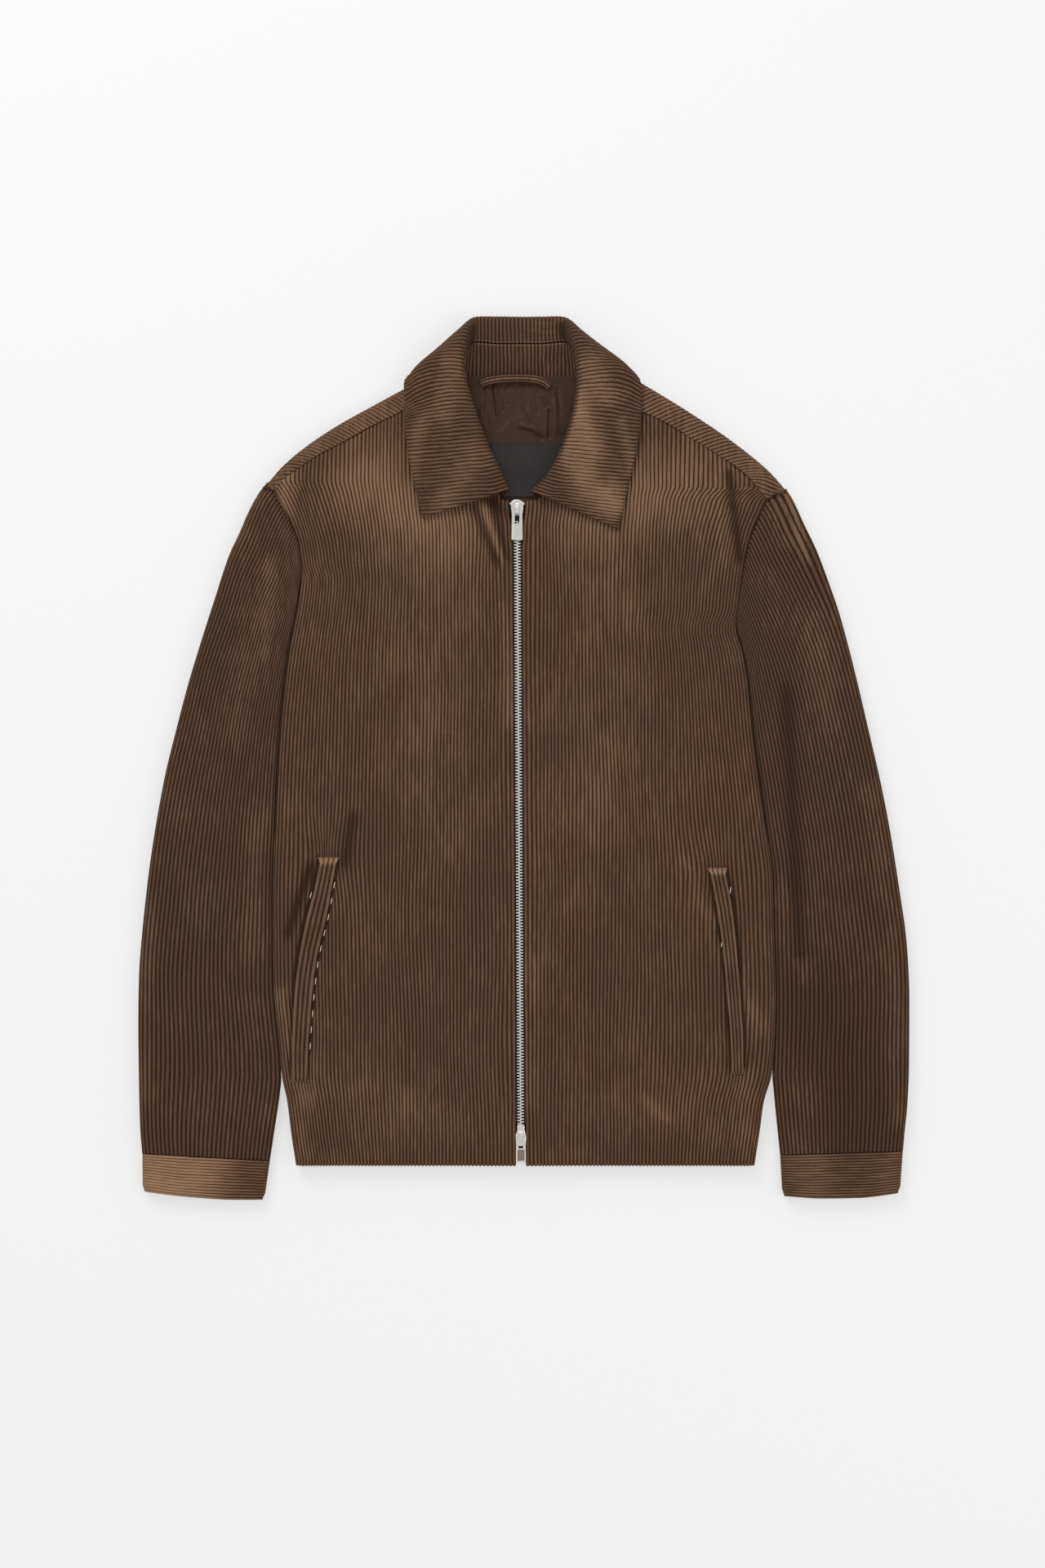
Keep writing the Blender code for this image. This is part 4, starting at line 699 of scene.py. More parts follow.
def back_thread(side, share, fold_step):
    """One thread line of the back: up the flat from the hem, then over the shoulder to its seam.

    A share of 1 and every fold step run up the side fold and the armhole itself.
    """
    radius = BODY_THICK / 2
    fold, seam = SHOULDER_FOLD[side], SHOULDER_SEAM[side]
    tip = np.array([fold["out"][-1], fold["up"][-1]])
    on_edge = share >= 1.0
    armhole = tip - (SIGN[side] * float(body_edge_x(side, tip[1] - radius)), tip[1] - radius)
    armhole /= np.linalg.norm(armhole)

    def out_at(up):
        ups = np.array([up])
        if fold_step:
            return SIGN[side] * side_fold(side, ups, np.zeros(1), np.zeros(1))[0][0, fold_step]
        return SIGN[side] * wale_x(0.0, flat_end_x(side, ups)[0], side, share)

    if share < BACK_NECK_SHARE:
        at_out = share / BACK_NECK_SHARE * SHOULDER_WRAP_ENDS[0]
    else:
        beyond_neck = (share - BACK_NECK_SHARE) / (1 - BACK_NECK_SHARE)
        at_out = SHOULDER_WRAP_ENDS[0] + beyond_neck * (tip[0] - 1.9 - SHOULDER_WRAP_ENDS[0])
    wrap = float(smoothstep(*SHOULDER_WRAP_ENDS, at_out))
    fold_at = [smooth_curve(fold["out"], fold["up"], min(at_out + d, tip[0])) for d in (-1.0, 0.0, 1.0)]
    slope = float(fold_at[2] - fold_at[0]) / (min(at_out + 1, tip[0]) - at_out + 1)
    normal = np.array([-slope, 1.0]) / math.hypot(slope, 1.0)
    toward = normal + (armhole - normal) * float(smoothstep(0.8, 1.0, share))
    toward /= np.linalg.norm(toward)
    stretch = 1.0 / float(toward @ normal)
    on_fold = tip if on_edge else np.array([at_out, float(fold_at[1])])
    rolled_start = on_fold - radius * stretch * toward
    plain_start = np.array([at_out, BACK_NECK_UP - 4 * float(smoothstep(44, 66, at_out)) - BACK_NECK_RUN])
    start = plain_start + (rolled_start - plain_start) * wrap
    direction = (1 - wrap) * np.array([0.0, 1.0]) + wrap * toward
    direction /= np.linalg.norm(direction)
    run, at = 1.0, rolled_start
    while at[1] > float(smooth_curve(seam["out"], seam["up"], at[0])) + 2.5 * SEAM_GAP:
        run += 0.25
        at = rolled_start - toward * stretch * run
    length = BACK_NECK_RUN + (math.pi * radius + run - BACK_NECK_RUN) * wrap
    bend = max(wrap, 1e-6) / radius
    shift = start[0] - out_at(start[1])
    points, slides = [], []
    for part in BACK_PLACES:
        up = BACK_HEM_UP + (start[1] - BACK_HEM_UP) * part
        out = out_at(up) + (0.0 if on_edge else shift * (up / start[1]) ** 6)
        high = 0.0
        if fold_step:
            lift = side_fold(side, np.array([up]), np.zeros(1), np.full(1, -(radius - SEAM_GAP / 2)))[1]
            high = lift[0, fold_step] * (1 - float(smoothstep(0.9, 1.0, part)))
        points.append((out, up, high))
        slides.append(0.0)
    rolled = np.concatenate([np.linspace(0, 1, ROLL_STEPS + 1)[1:] * math.pi * radius,
                             math.pi * radius + np.linspace(0, 1, PAST_STEPS + 1)[1:] * run])
    for k, turned in enumerate(rolled, start=1):
        arc = length * k / len(rolled) * (1 - wrap) + turned * wrap
        angle = min(bend * arc, math.pi)
        reach = math.sin(angle) / bend - max(arc - math.pi / bend, 0.0)
        plan = start + direction * reach * (1 + (stretch - 1) * wrap)
        out = out_at(plan[1]) if on_edge else plan[0]
        points.append((out, plan[1], (1 - math.cos(angle)) / bend))
        slides.append(float(normal[0]) * arc * wrap)
    return [(SIGN[side] * out, up, high) for out, up, high in points], slides


def collar_controls():
    """Control points of every section, from the wearer's right front end round to the left one."""
    right = [[(-p[0], p[1], p[2]) for p in section] for section in COLLAR_SECTIONS["right"]]
    left = [list(section) for section in COLLAR_SECTIONS["left"]]
    return np.array(right + [list(COLLAR_MIDDLE)] + left[::-1], float)


def collar_grid(shares, steps):
    controls = through_points(collar_controls(), steps)
    weights = blend_weights(len(COLLAR_POINTS.split()), shares)
    return np.einsum("tc,scx->stx", weights, controls)


# ---------------------------------------------------------------- materials
WHITE = (1.0, 1.0, 1.0, 1.0)


def linear(colour):
    """An sRGB hex colour as linear red, green, blue and alpha."""
    parts = [int(colour[i : i + 2], 16) / 255 for i in (1, 3, 5)]
    return tuple(p / 12.92 if p <= 0.04045 else ((p + 0.055) / 1.055) ** 2.4 for p in parts) + (1.0,)


def new_material(name):
    made = bpy.data.materials.new(name)
    made.use_nodes = True
    return made, made.node_tree, made.node_tree.nodes["Principled BSDF"]


def node(tree, kind, inputs=None, **settings):
    """Add a node: its settings by name, and each input as a value or as the output to link from."""
    made = tree.nodes.new(kind)
    for key, value in settings.items():
        setattr(made, key, value)
    plug(tree, made, inputs or {})
    return made


def plug(tree, made, inputs):
    """Give a node's inputs their values, or the outputs that they link from."""
    for key, value in inputs.items():
        if isinstance(value, bpy.types.NodeSocket):
            tree.links.new(value, made.inputs[key])
        else:
            made.inputs[key].default_value = value


def from_origin(tree):
    return node(tree, "ShaderNodeTexCoord").outputs["Object"]


def noise(tree, where, scale, detail, roughness=0.5):
    inputs = {"Vector": where, "Scale": scale, "Detail": detail, "Roughness": roughness}
    return node(tree, "ShaderNodeTexNoise", inputs).outputs["Fac"]


def slanting(tree, where, scale, distortion):
    """Slanting waves."""
    inputs = {"Vector": where, "Scale": scale, "Distortion": distortion, "Detail": 2.0}
    return node(tree, "ShaderNodeTexWave", inputs, bands_direction="DIAGONAL").outputs["Fac"]


def ranged(tree, value, start, stop, low=0.0, high=1.0, **settings):
    """The value carried over from one range to another."""
    inputs = {"Value": value, "From Min": start, "From Max": stop, "To Min": low, "To Max": high}
    return node(tree, "ShaderNodeMapRange", inputs, **settings).outputs["Result"]


def mix(tree, share, first, second, **settings):
    inputs = {"Factor": share, "A": first, "B": second}
    return node(tree, "ShaderNodeMix", inputs, data_type="RGBA", **settings).outputs["Result"]


def add(tree, first, second, **settings):
    return node(tree, "ShaderNodeMath", {0: first, 1: second}, operation="ADD", **settings).outputs["Value"]


def bump(tree, height, strength, distance):
    inputs = {"Height": height, "Strength": strength, "Distance": distance}
    return node(tree, "ShaderNodeBump", inputs).outputs["Normal"]


def corduroy(name, tone=1.0, along=(1.0, 0.12, 1.0)):
    """Cotton corduroy, woven with a cut pile: ribs that look light where the pile leans towards the
    light and dark where it is seen end on, with soft brushed patches."""
    look = bpy.context.scene.jacket_cloth
    made, tree, shader = new_material(name)
    where = from_origin(tree)
    rib, nap_and_painted_light = (node(tree, "ShaderNodeAttribute", attribute_name=key).outputs["Fac"] for key in ("rib", "nap_and_painted_light"))
    # Brushed patches about 40 mm wide, and streaks about 2 mm wide that run with the ribs.
    patches = noise(tree, where, 22.0, 3.0, 0.55)
    stretched = node(tree, "ShaderNodeMapping", {"Vector": where, "Scale": along}).outputs["Vector"]
    streaks = noise(tree, stretched, 420.0, 2.0)
    # Pile tufts, drawn about 0.7 mm across so that they show.
    pile = noise(tree, where, 1400.0, 2.0)
    lean_and_painted_light = add(tree, ranged(tree, patches, 0.3, 0.75, -0.08, 0.17), ranged(tree, streaks, 0.25, 0.75, -0.18, 0.18))
    # Painted highlights and painted shade from the attribute are added to the pile's random lean.
    lean_and_painted_light = add(tree, lean_and_painted_light, nap_and_painted_light, use_clamp=True)
    low, high = ranged(tree, lean_and_painted_light, 0.0, 1.0, 0.35, 0.0), ranged(tree, lean_and_painted_light, 0.0, 1.0, 1.1, 0.7)
    lit = ranged(tree, rib, low, high, interpolation_type="SMOOTHSTEP")
    # The dye is a little redder in some places than in others, in areas about 100 mm wide.
    dyed = ranged(tree, noise(tree, where, 9.0, 4.0, 0.6), 0.3, 0.7)
    seen_on_end = mix(tree, dyed, linear(look.dark_crown), linear(look.red_crown))
    crown = mix(tree, lean_and_painted_light, seen_on_end, linear(look.light_crown))
    # The furrow colour shows between the ribs and where they are lowered for painted shadow: painted shade over the
    # ground's own colour.
    colour = mix(tree, lit, linear(look.furrow_and_shadow), crown)
    tuft = ranged(tree, pile, 0.3, 0.7, tone * 0.82, tone * 1.18)
    plug(tree, shader, {
        "Base Color": mix(tree, 1.0, colour, tuft, blend_type="MULTIPLY"), "Normal": bump(tree, pile, 0.5, 0.0003),
        "Roughness": 0.92, "Specular IOR Level": 0.15,
        "Sheen Weight": 0.18, "Sheen Roughness": 0.45, "Sheen Tint": linear("#b59a80"),
    })
    return made


def satin(name, colour, other, threads=2600.0):
    """Polyester satin, woven with long floats: a soft shine, and a fine weave."""
    made, tree, shader = new_material(name)
    where = from_origin(tree)
    weave = slanting(tree, where, threads / 6.28, 0.5)
    plug(tree, shader, {
        "Base Color": mix(tree, noise(tree, where, 60.0, 3.0), linear(colour), linear(other)),
        "Normal": bump(tree, weave, 0.25, 0.0001), "Roughness": 0.42, "Specular IOR Level": 0.14,
    })
    return made


def twill_tape(name, colour):
    """Cotton and polyester zip tape, woven in a herringbone twill, dull."""
    made, tree, shader = new_material(name)
    # Twill lines drawn 1.2 mm apart so that they show.
    twill = slanting(tree, from_origin(tree), 130.0, 1.0)
    plug(tree, shader, {
        "Base Color": mix(tree, twill, linear(colour), linear("#4a3627")),
        "Normal": bump(tree, twill, 0.4, 0.0002), "Roughness": 0.85,
    })
    return made


def nickel(name, roughness=0.24, shaded=None, sunk=None):
    """Nickel-plated zinc, die cast and tumbled: bright, a little uneven, with faint scuffs. Where shaded is given it
    is painted near black short of the two places along Y where it shades off, as painted shade in the window under a
    pull tab; where sunk is given it is greyish brown on the floor of a panel sunk into it, at that share of its
    height."""
    plating = linear(bpy.context.scene.jacket_metal.colour)
    made, tree, shader = new_material(name)
    where = from_origin(tree)
    scuffs = noise(tree, where, 900.0, 4.0, 0.6)
    colour = plating
    if shaded:
        # Painted shade: darkened short of these places along Y.
        along = node(tree, "ShaderNodeSeparateXYZ", {"Vector": where}).outputs["Y"]
        colour = mix(tree, ranged(tree, along, *shaded), linear("#24211e"), plating)
    if sunk:
        # The floor of the sunk panel is greyish brown.
        whole = node(tree, "ShaderNodeTexCoord").outputs["Generated"]
        level = node(tree, "ShaderNodeSeparateXYZ", {"Vector": whole}).outputs["Z"]
        panel = node(tree, "ShaderNodeMath", {0: level, 1: sunk, 2: 0.04}, operation="COMPARE").outputs["Value"]
        colour = mix(tree, panel, plating, linear("#8f8276"))
    plug(tree, shader, {
        "Base Color": colour, "Roughness": ranged(tree, scuffs, 0.35, 0.7, roughness - 0.06, roughness + 0.14),
        "Normal": bump(tree, scuffs, 0.15, 0.0001), "Metallic": 1.0,
    })
    return made


def thread(name, colour):
    """Spun polyester sewing thread, twisted, dull."""
    made, tree, shader = new_material(name)
    vary = ranged(tree, noise(tree, from_origin(tree), 2500.0, 1.0), 0.0, 1.0, 0.75, 1.25)
    mixed = node(tree, "ShaderNodeHueSaturation", {"Color": linear(colour), "Value": vary})
    plug(tree, shader, {"Base Color": mixed.outputs["Color"], "Roughness": 0.7})
    return made


# ---------------------------------------------------------------- cloth surfaces
def span(*parts):
    """Places from several (start, stop, count) runs, joined end to end."""
    runs = [np.linspace(start, stop, count, endpoint=False) for start, stop, count in parts]
    return np.concatenate(runs + [[parts[-1][1]]])


def front_surface(side):
    """The front panel's crowns as a grid, with each point's rib height and its nap and painted light."""
    flat = np.linspace(0, 1, FRONT_RIBS * RIB_COLUMNS + 1)
    turned = np.linspace(0, 1, FOLD_RIBS * RIB_COLUMNS + 1)[1:]
    share = np.concatenate([flat, np.ones(len(turned))])
    fold = np.concatenate([np.zeros(len(flat)), turned])
    sway_seed, wave_seed, pucker_seed, _ = SEEDS[side]
    # How far up each thread line reaches, found by halving the way between.
    low, high = np.full(len(share), 450.0), np.full(len(share), 700.0)

    def plan_x(up):
        return wale_x(front_edge_x(side, up), flat_end_x(side, up), side, share)

    for _ in range(30):
        middle = (low + high) / 2
        under = middle < front_top_up(side, plan_x(middle))
        low, high = np.where(under, middle, low), np.where(under, high, middle)
    low = low + 1.3 * smoothstep(66, 76, SIGN[side] * plan_x(low))
    top = np.where(fold > 0, low[len(flat) - 1], low)
    rows = span((0, 0.001, 1), (0.001, 0.004, 2), (0.004, 0.02, 3), (0.02, 0.12, 18), (0.12, 0.9, 84),
                (0.9, 0.99, 14), (0.99, 1.0, 5))
    up = rows[:, None] * top[None, :]
    share, fold = share[None, :] + 0 * up, fold[None, :] + 0 * up
    x = wale_x(front_edge_x(side, up), flat_end_x(side, up), side, share)
    flat_x, flat_up = x.copy(), up
    turn = fold * side_turn(side, up)
    x = np.where(fold > 0, flat_end_x(side, up) + SIGN[side] * BODY_THICK / 2 * np.sin(turn), x)
    inside = smoothstep(0, 0.06, share) * (1 - smoothstep(0.85, 1, share))
    # Between the sliders the front edges close up over the tape, and a little less beside them.
    closing = (0.8 + 0.2 * smoothstep(40, 52, up)) * (1 - 0.65 * smoothstep(530, 546, up))
    x = x - SIGN[side] * 1.7 * closing * bell(flat_x - front_edge_x(side, up), 9.0)
    x = x + inside * (1.1 * ripple(x, up * 0.35, sway_seed, 60) + pinched(x, up))
    high = front_high(side, flat_x, flat_up)
    high = high - (high - BODY_THICK / 2 - SEAM_GAP / 2) * (1 - np.cos(turn))
    away = SIGN[side] * (body_edge_x(side, up) - x)
    level = 1 - fold
    high += level * (strokes(FINE_CREASES, x, up) + 0.22 * ripple(x, up, 11, 70) + 0.12 * ripple(x, up, 12, 26))
    # The zip tape draws the edge up into small waves.
    high += 0.35 * bell(from_zip_edge(side, x, up) - 5, 7) * ripple(0 * x, up, wave_seed, 34)
    high -= rounded_drop(up, 1.8)
    high -= 0.9 * bell(top[None, :] - up, 1.4) * level
    high -= 1.6 * bell(away, 3.0) * (1 - underarm_share(side, up))
    pucker = ripple(0 * x, up, pucker_seed, 16) * np.exp(-away / 14)
    high += 0.35 * pucker * smoothstep(UNDERARM_UP[side] - 60, UNDERARM_UP[side], up) * level
    phase = share * FRONT_RIBS + fold * FOLD_RIBS
    up = up - 0.5 * (rib_height(phase) - 0.3) * (1 - smoothstep(0, 3, up))
    # The pile's painted highlights and painted shade, and a little lighter round the side fold.
    nap_and_painted_light = strokes(BODY_PAINTED_LIGHT, x, up) + 0.12 * fold
    # Painted shadow along both edges of the welt lowers the ribs and darkens them to the furrow colour.
    rib = rib_height(phase) * (1 - welt_painted_shadow(side, x, up))
    # Painted shadow along the body's edge beside the sleeve, in the same way.
    sleeve_seam_shadow = smoothstep(270, 300, up) * (1 - smoothstep(540, 590, up)) * bell(away, 2.2)
    return np.stack([x, up, high], axis=-1), rib * (1 - 0.8 * sleeve_seam_shadow), nap_and_painted_light


def welt_painted_shadow(side, x, up):
    """How much painted shadow lowers and darkens the ribs along both edges of the welt."""
    rows = WELT[side]
    out = SIGN[side] * x
    from_outer = out - np.interp(up, rows["up"], rows["outer"])
    from_inner = np.interp(up, rows["up"], rows["inner"]) - out
    foot, top = rows["up"][0], rows["up"][-1]
    beside = smoothstep(foot - 1, foot + 6, up) * (1 - smoothstep(top - 1, top + 4, up))
    outer_shadow = bell(from_outer - 1.2, 1.5) * (0.5 + 0.5 * smoothstep(foot + 60, foot + 100, up))
    return beside * np.clip(outer_shadow + 0.7 * bell(from_inner - 0.9, 1.0), 0, 1)


def pinched(x, up):
    """How far the ribs are drawn sideways, towards the ends of the seams that pull on them."""
    moved = 0 * x
    for centre_x, centre_up, half_wide, half_tall, share in zip(*PINCHES.values()):
        near = bell(x - centre_x, half_wide) * bell(up - centre_up, half_tall)
        moved = moved - share * (x - centre_x) * near
    return moved


def along_threads(grid, at, places):
    """Smooth a few threads out to many across: a curve through the threads at each row."""
    step = np.diff(at)
    rate = np.diff(grid, axis=1) / step[None, :, None]
    slope = np.empty_like(grid)
    slope[:, 1:-1] = (rate[:, :-1] * step[None, 1:, None] + rate[:, 1:] * step[None, :-1, None]) / (
        step[1:] + step[:-1]
    )[None, :, None]
    slope[:, 0], slope[:, -1] = rate[:, 0], rate[:, -1]
    i = np.clip(np.searchsorted(at, places, side="right") - 1, 0, len(step) - 1)
    t = ((places - at[i]) / step[i])[None, :, None]
    return hermite(t, step[i][None, :, None], grid[:, i], slope[:, i], grid[:, i + 1], slope[:, i + 1])


def back_surface():
    """The back's crowns: on the floor, up round both sides, and forward over both shoulders."""
    shares = np.linspace(0, 1, 21)
    folds = np.arange(1, len(FOLD_ANGLES))
    fold_end = FOLD_STEP * len(folds)
    at = np.concatenate([shares, 1 + FOLD_STEP * folds])
    places = span((0, 1, BACK_RIBS * 4), (1, 1 + fold_end, 4 * FOLD_RIBS))
    number = np.where(places <= 1, places * BACK_RIBS, BACK_RIBS + (places - 1) / fold_end * FOLD_RIBS)
    sides = []
    for side in SIGN:
        made = [back_thread(side, share, 0) for share in shares] + [back_thread(side, 1.0, k) for k in folds]
        threads, reached = zip(*made)
        fine = along_threads(np.array(threads).transpose(1, 0, 2), at, places)
        slide = along_threads(np.array(reached).T[..., None], at, places)[..., 0]
        sides.append((fine, number[None, :] + slide / BACK_PITCH))
    right, left = sides
    surface = np.concatenate([right[0][:, :0:-1], left[0]], axis=1)
    phase = np.concatenate([-right[1][:, :0:-1], left[1]], axis=1)
    return surface, phase


def sleeve_surface(side):
    """One sleeve's crowns, ring by ring from the cuff seam to the armhole."""
    outer_line, inner_start = SLEEVE_OUTER[side], SLEEVE_INNER[side]["up"][0]
    count = SLEEVE_RIBS * RIB_COLUMNS
    round_share = np.arange(count) / count
    rings = []
    for v in span((0, 0.004, 2), (0.004, 0.03, 6), (0.03, 0.9, 78), (0.9, 0.985, 12), (0.985, 1.0, 4)):
        inner_up = inner_start + (UNDERARM_UP[side] - inner_start) * v
        outer_up = outer_line["up"][0] + (outer_line["up"][-1] - outer_line["up"][0]) * v
        inner = np.array([float(sleeve_inner_x(side, inner_up)), inner_up])
        edge = np.array([SIGN[side] * float(smooth_curve(outer_line["up"], outer_line["out"], outer_up)), outer_up])
        axis = np.array([SIGN[side] * (-0.05 - 0.28 * v), 1.0])
        axis /= np.linalg.norm(axis)
        radius = (SLEEVE_THICK + (BODY_THICK - SLEEVE_THICK) * float(smoothstep(0.8, 1.0, v))) / 2
        radius -= 0.7 * (1 - float(smoothstep(0.0, 0.08, v)))
        # The sleeve lies right up against the body.
        inner = inner - (SIGN[side] * 2.2 * float(smoothstep(70, 100, inner_up)), 0.0)
        chord = edge - inner
        wide = abs(chord[0] * axis[1] - chord[1] * axis[0])
        share, rise = flat_ring(round_share, radius, wide)
        plan = inner + share[:, None] * chord
        tip_up = outer_line["up"][-1]
        seam_up = UNDERARM_UP[side] + (tip_up - UNDERARM_UP[side]) * share
        ends = body_edge_x(side, UNDERARM_UP[side]), body_edge_x(side, tip_up)
        bow = (body_edge_x(side, seam_up) - ends[0] - share * (ends[1] - ends[0])) * smoothstep(0.72, 1.0, v)
        drawn_back = 1.6 * share * smoothstep(0.9, 1.0, v)
        x, up = plan[:, 0] + bow, plan[:, 1] - drawn_back
        high = radius + radius * rise
        top = smoothstep(0.3, 0.95, rise)
        waver = 0.7 * ripple(x, up * 0.4, SEEDS[side][3], 50) * top
        from_cuff, from_top = v * SLEEVE_LONG, (1 - v) * SLEEVE_LONG
        seam_dip = 1.5 * bell(from_top, 3.0) + bell(from_cuff, 2.6)
        pucker = 0.3 * ripple(x * 1.3, 0 * up, 41, 15) * math.exp(-from_top / 16)
        pucker = pucker + 0.3 * ripple(x * 1.3, 0 * up, 42, 12) * math.exp(-from_cuff / 12)
        swell = strokes(SLEEVE_CREASES, x, up) + 0.3 * ripple(x, up, 13, 75) + 0.14 * ripple(x, up, 14, 28)
        high = high + top * (swell + pucker - seam_dip)
        rings.append(np.column_stack([x + waver, up, high]))
    # The seam allowance turns in under the body's edge.
    last = rings[-1]
    inward = np.array([-SIGN[side] * 0.75, 0.65, 0.0])
    for reach, squeeze in ((1.2, 0.12), (3.4, 0.3)):
        ring = last + inward * reach
        ring[:, 2] = last[:, 2] + (BODY_THICK / 2 - last[:, 2]) * squeeze
        rings.append(ring)
    surface = np.array(rings)
    nap_and_painted_light = strokes(SLEEVE_PAINTED_LIGHT, surface[..., 0], surface[..., 1])
    return surface, rib_height(round_share * SLEEVE_RIBS)[None, :], nap_and_painted_light


def flat_ring(turn, radius, wide):
    """Places round a flattened tube: each point's share across it and its rise, from -1 to 1."""
    arc, flat = math.pi * radius / 2, wide - 2 * radius
    corners = np.cumsum([0.0, arc, flat, 2 * arc, flat, arc])
    at = np.mod(turn, 1.0) * corners[-1]
    angle = np.interp(at, corners, np.radians([0, 90, 90, 270, 270, 360]))
    slid = np.interp(at, corners, np.array([0, 0, 1, 1, 0, 0]) * flat / wide)
    return radius / wide * (1 - np.cos(angle)) + slid, np.sin(angle)


def cuff_surface(side):
    """One cuff's crowns, with the ribs round the wrist and both ends turned in."""
    seam, end = CUFF_SEAM[side], CUFF_END[side]
    turn = np.arange(CUFF_COLUMNS) / CUFF_COLUMNS
    long = float(seam["up"].mean() - end["up"].mean())
    ribs = round(long / CUFF_PITCH)
    rings, phases = [], []
    for v in span((0, 1, ribs * RIB_COLUMNS)):
        drawn_in = 1.6 * float(smoothstep(0.8, 1.0, v))
        inner = seam["out"][0] + (end["out"][0] - seam["out"][0]) * v + drawn_in
        edge = seam["out"][-1] + (end["out"][-1] - seam["out"][-1]) * v - drawn_in
        radius = CUFF_THICK / 2 - 0.5 * float(smoothstep(0.8, 1.0, v))
        share, rise = flat_ring(turn, radius, edge - inner)
        out = inner + share * (edge - inner)
        seam_up = np.interp(out, seam["out"], seam["up"])
        end_up = smooth_curve(end["out"], end["up"], end["out"][0] + share * (end["out"][-1] - end["out"][0]))
        up = seam_up + (end_up - seam_up) * v
        high = CUFF_THICK / 2 + radius * rise
        x = SIGN[side] * out
        shrink = float(rounded_drop((1 - v) * long, 1.6)) + 0.6 * bell(v * long, 2.0)
        top = smoothstep(0.2, 0.95, rise)
        high = high - np.sign(rise) * smoothstep(0.2, 0.9, abs(rise)) * shrink
        high = high + top * (0.35 * ripple(x, up, 51, 34) + 0.15 * ripple(x, up, 52, 14))
        rings.append(np.column_stack([x, up, high]))
        phases.append(np.full(len(turn), v * ribs) + 0.25 * ripple(x, 0 * up, 53, 60) * math.sin(math.pi * v))
    surface = np.array(rings)
    nap_and_painted_light = strokes(CUFF_PAINTED_LIGHT, surface[..., 0], surface[..., 1])
    return surface, rib_height(np.array(phases)), nap_and_painted_light


def even_rows(shares, pitch):
    """The collar's grid with its rows an even distance apart along the crest."""
    grid = collar_grid(shares, 24)
    crest = grid[:, len(shares) // 3]
    run = np.concatenate([[0], np.cumsum(np.linalg.norm(np.diff(crest, axis=0), axis=1))])
    count = int(run[-1] / pitch)
    places = np.linspace(0, run[-1], count)
    flat = grid.reshape(len(grid), -1)
    at = np.array([np.interp(places, run, flat[:, k]) for k in range(flat.shape[1])]).T
    return at.reshape(count, grid.shape[1], 3), places


def fall_surface():
    """The collar's fall: its outer face's crowns, rib phase, nap and painted light, and how thick it is."""
    sewn = STAND_SHARE + SEAM_SHARE
    shares = np.concatenate([sewn + 0.0055 * np.arange(4), np.linspace(sewn + 0.027, 1.0, 72)])
    grid, run = even_rows(shares, COLLAR_ROW)
    normal = outward_normals(grid, 6)
    x, up, high = grid[..., 0], grid[..., 1], grid[..., 2]
    # On the leaves the ribs lie level, rising a little outwards; round the back they follow the cloth.
    level = up + 0.07 * np.abs(x)
    crest = np.argmax(high, axis=1)
    on_crest = level[np.arange(len(level)), crest]
    leaf = smoothstep(0.0, 1.0, (668 - on_crest) / 26)[:, None]
    beyond = smoothstep(0, 12, np.arange(grid.shape[1])[None, :] - crest[:, None])
    first = np.sign(np.arange(len(run)) - len(run) / 2)[:, None]
    phase = run[:, None] - run[len(run) // 2] + leaf * beyond * first * (on_crest[:, None] - level)
    phase = phase / COLLAR_PITCH + 0.12 * ripple(x, up, 62, 34) + 0.05 * ripple(x, up, 63, 12)
    outward = x * 0 + 1.0
    rim = np.minimum(np.arange(grid.shape[1])[::-1][None, :] * 1.4, 99) * outward
    end = np.minimum(run, run[-1] - run)[:, None] * outward
    turned = rounded_drop(rim + 0.12, 1.7) + rounded_drop(end + 0.12, 1.7)
    turned = np.minimum(turned, COLLAR_WALL / 2 - 0.2)
    piping = 0.55 * bell(rim - 2.2, 1.5) - 0.45 * bell(rim - 5.6, 1.5)
    swell = (strokes(LEAF_CREASES, x, up) + 0.3 * ripple(x, up, 61, 40)) * smoothstep(0.3, 0.6, shares)
    swell = swell + piping - 0.6 * bell(np.arange(len(shares)), 1.1)
    face = grid + normal * (COLLAR_WALL / 2 + swell - turned)[..., None]
    # Painted highlights on the leaves, and painted shadow inside the neck.
    nap_and_painted_light = strokes(LEAF_PAINTED_LIGHT, x, up) * smoothstep(0.28, 0.4, shares) + strokes(NECK_PAINTED_SHADOW, x, up)
    wall = COLLAR_WALL + swell - 2 * turned
    return face, phase, nap_and_painted_light, wall


def outward_normals(grid, times):
    """Normals of one of the collar's grids, out of the neck and smoothed along it so many times."""
    normal = grid_normals(grid, False)
    for _ in range(times):
        normal[1:-1] = normal[1:-1] * 0.5 + (normal[:-2] + normal[2:]) * 0.25
        normal /= np.linalg.norm(normal, axis=2, keepdims=True)
    return normal * np.sign(normal[len(grid) // 2, 3, 2])


def stand_surface():
    """The stand, inside the neck: its inner face's crowns and rib phase."""
    shares = np.linspace(0, STAND_SHARE - SEAM_SHARE, 18)
    grid, run = even_rows(shares, COLLAR_ROW)
    normal = outward_normals(grid, 6)
    seam = bell(np.arange(len(shares))[::-1], 1.6)
    face = grid + normal * (COLLAR_WALL / 2 - 0.8 * seam)[..., None]
    phase = (run[:, None] - run[len(run) // 2]) / COLLAR_PITCH + 0.1 * ripple(grid[..., 0], grid[..., 1], 64, 24)
    return face, phase


# ---------------------------------------------------------------- repeated parts, by Geometry Nodes
def socket_id(tree, label):
    for item in tree.interface.items_tree:
        if item.item_type == "SOCKET" and item.in_out == "INPUT" and item.name == label:
            return item.identifier
    raise RuntimeError(f"{tree.name} has no input named {label}")


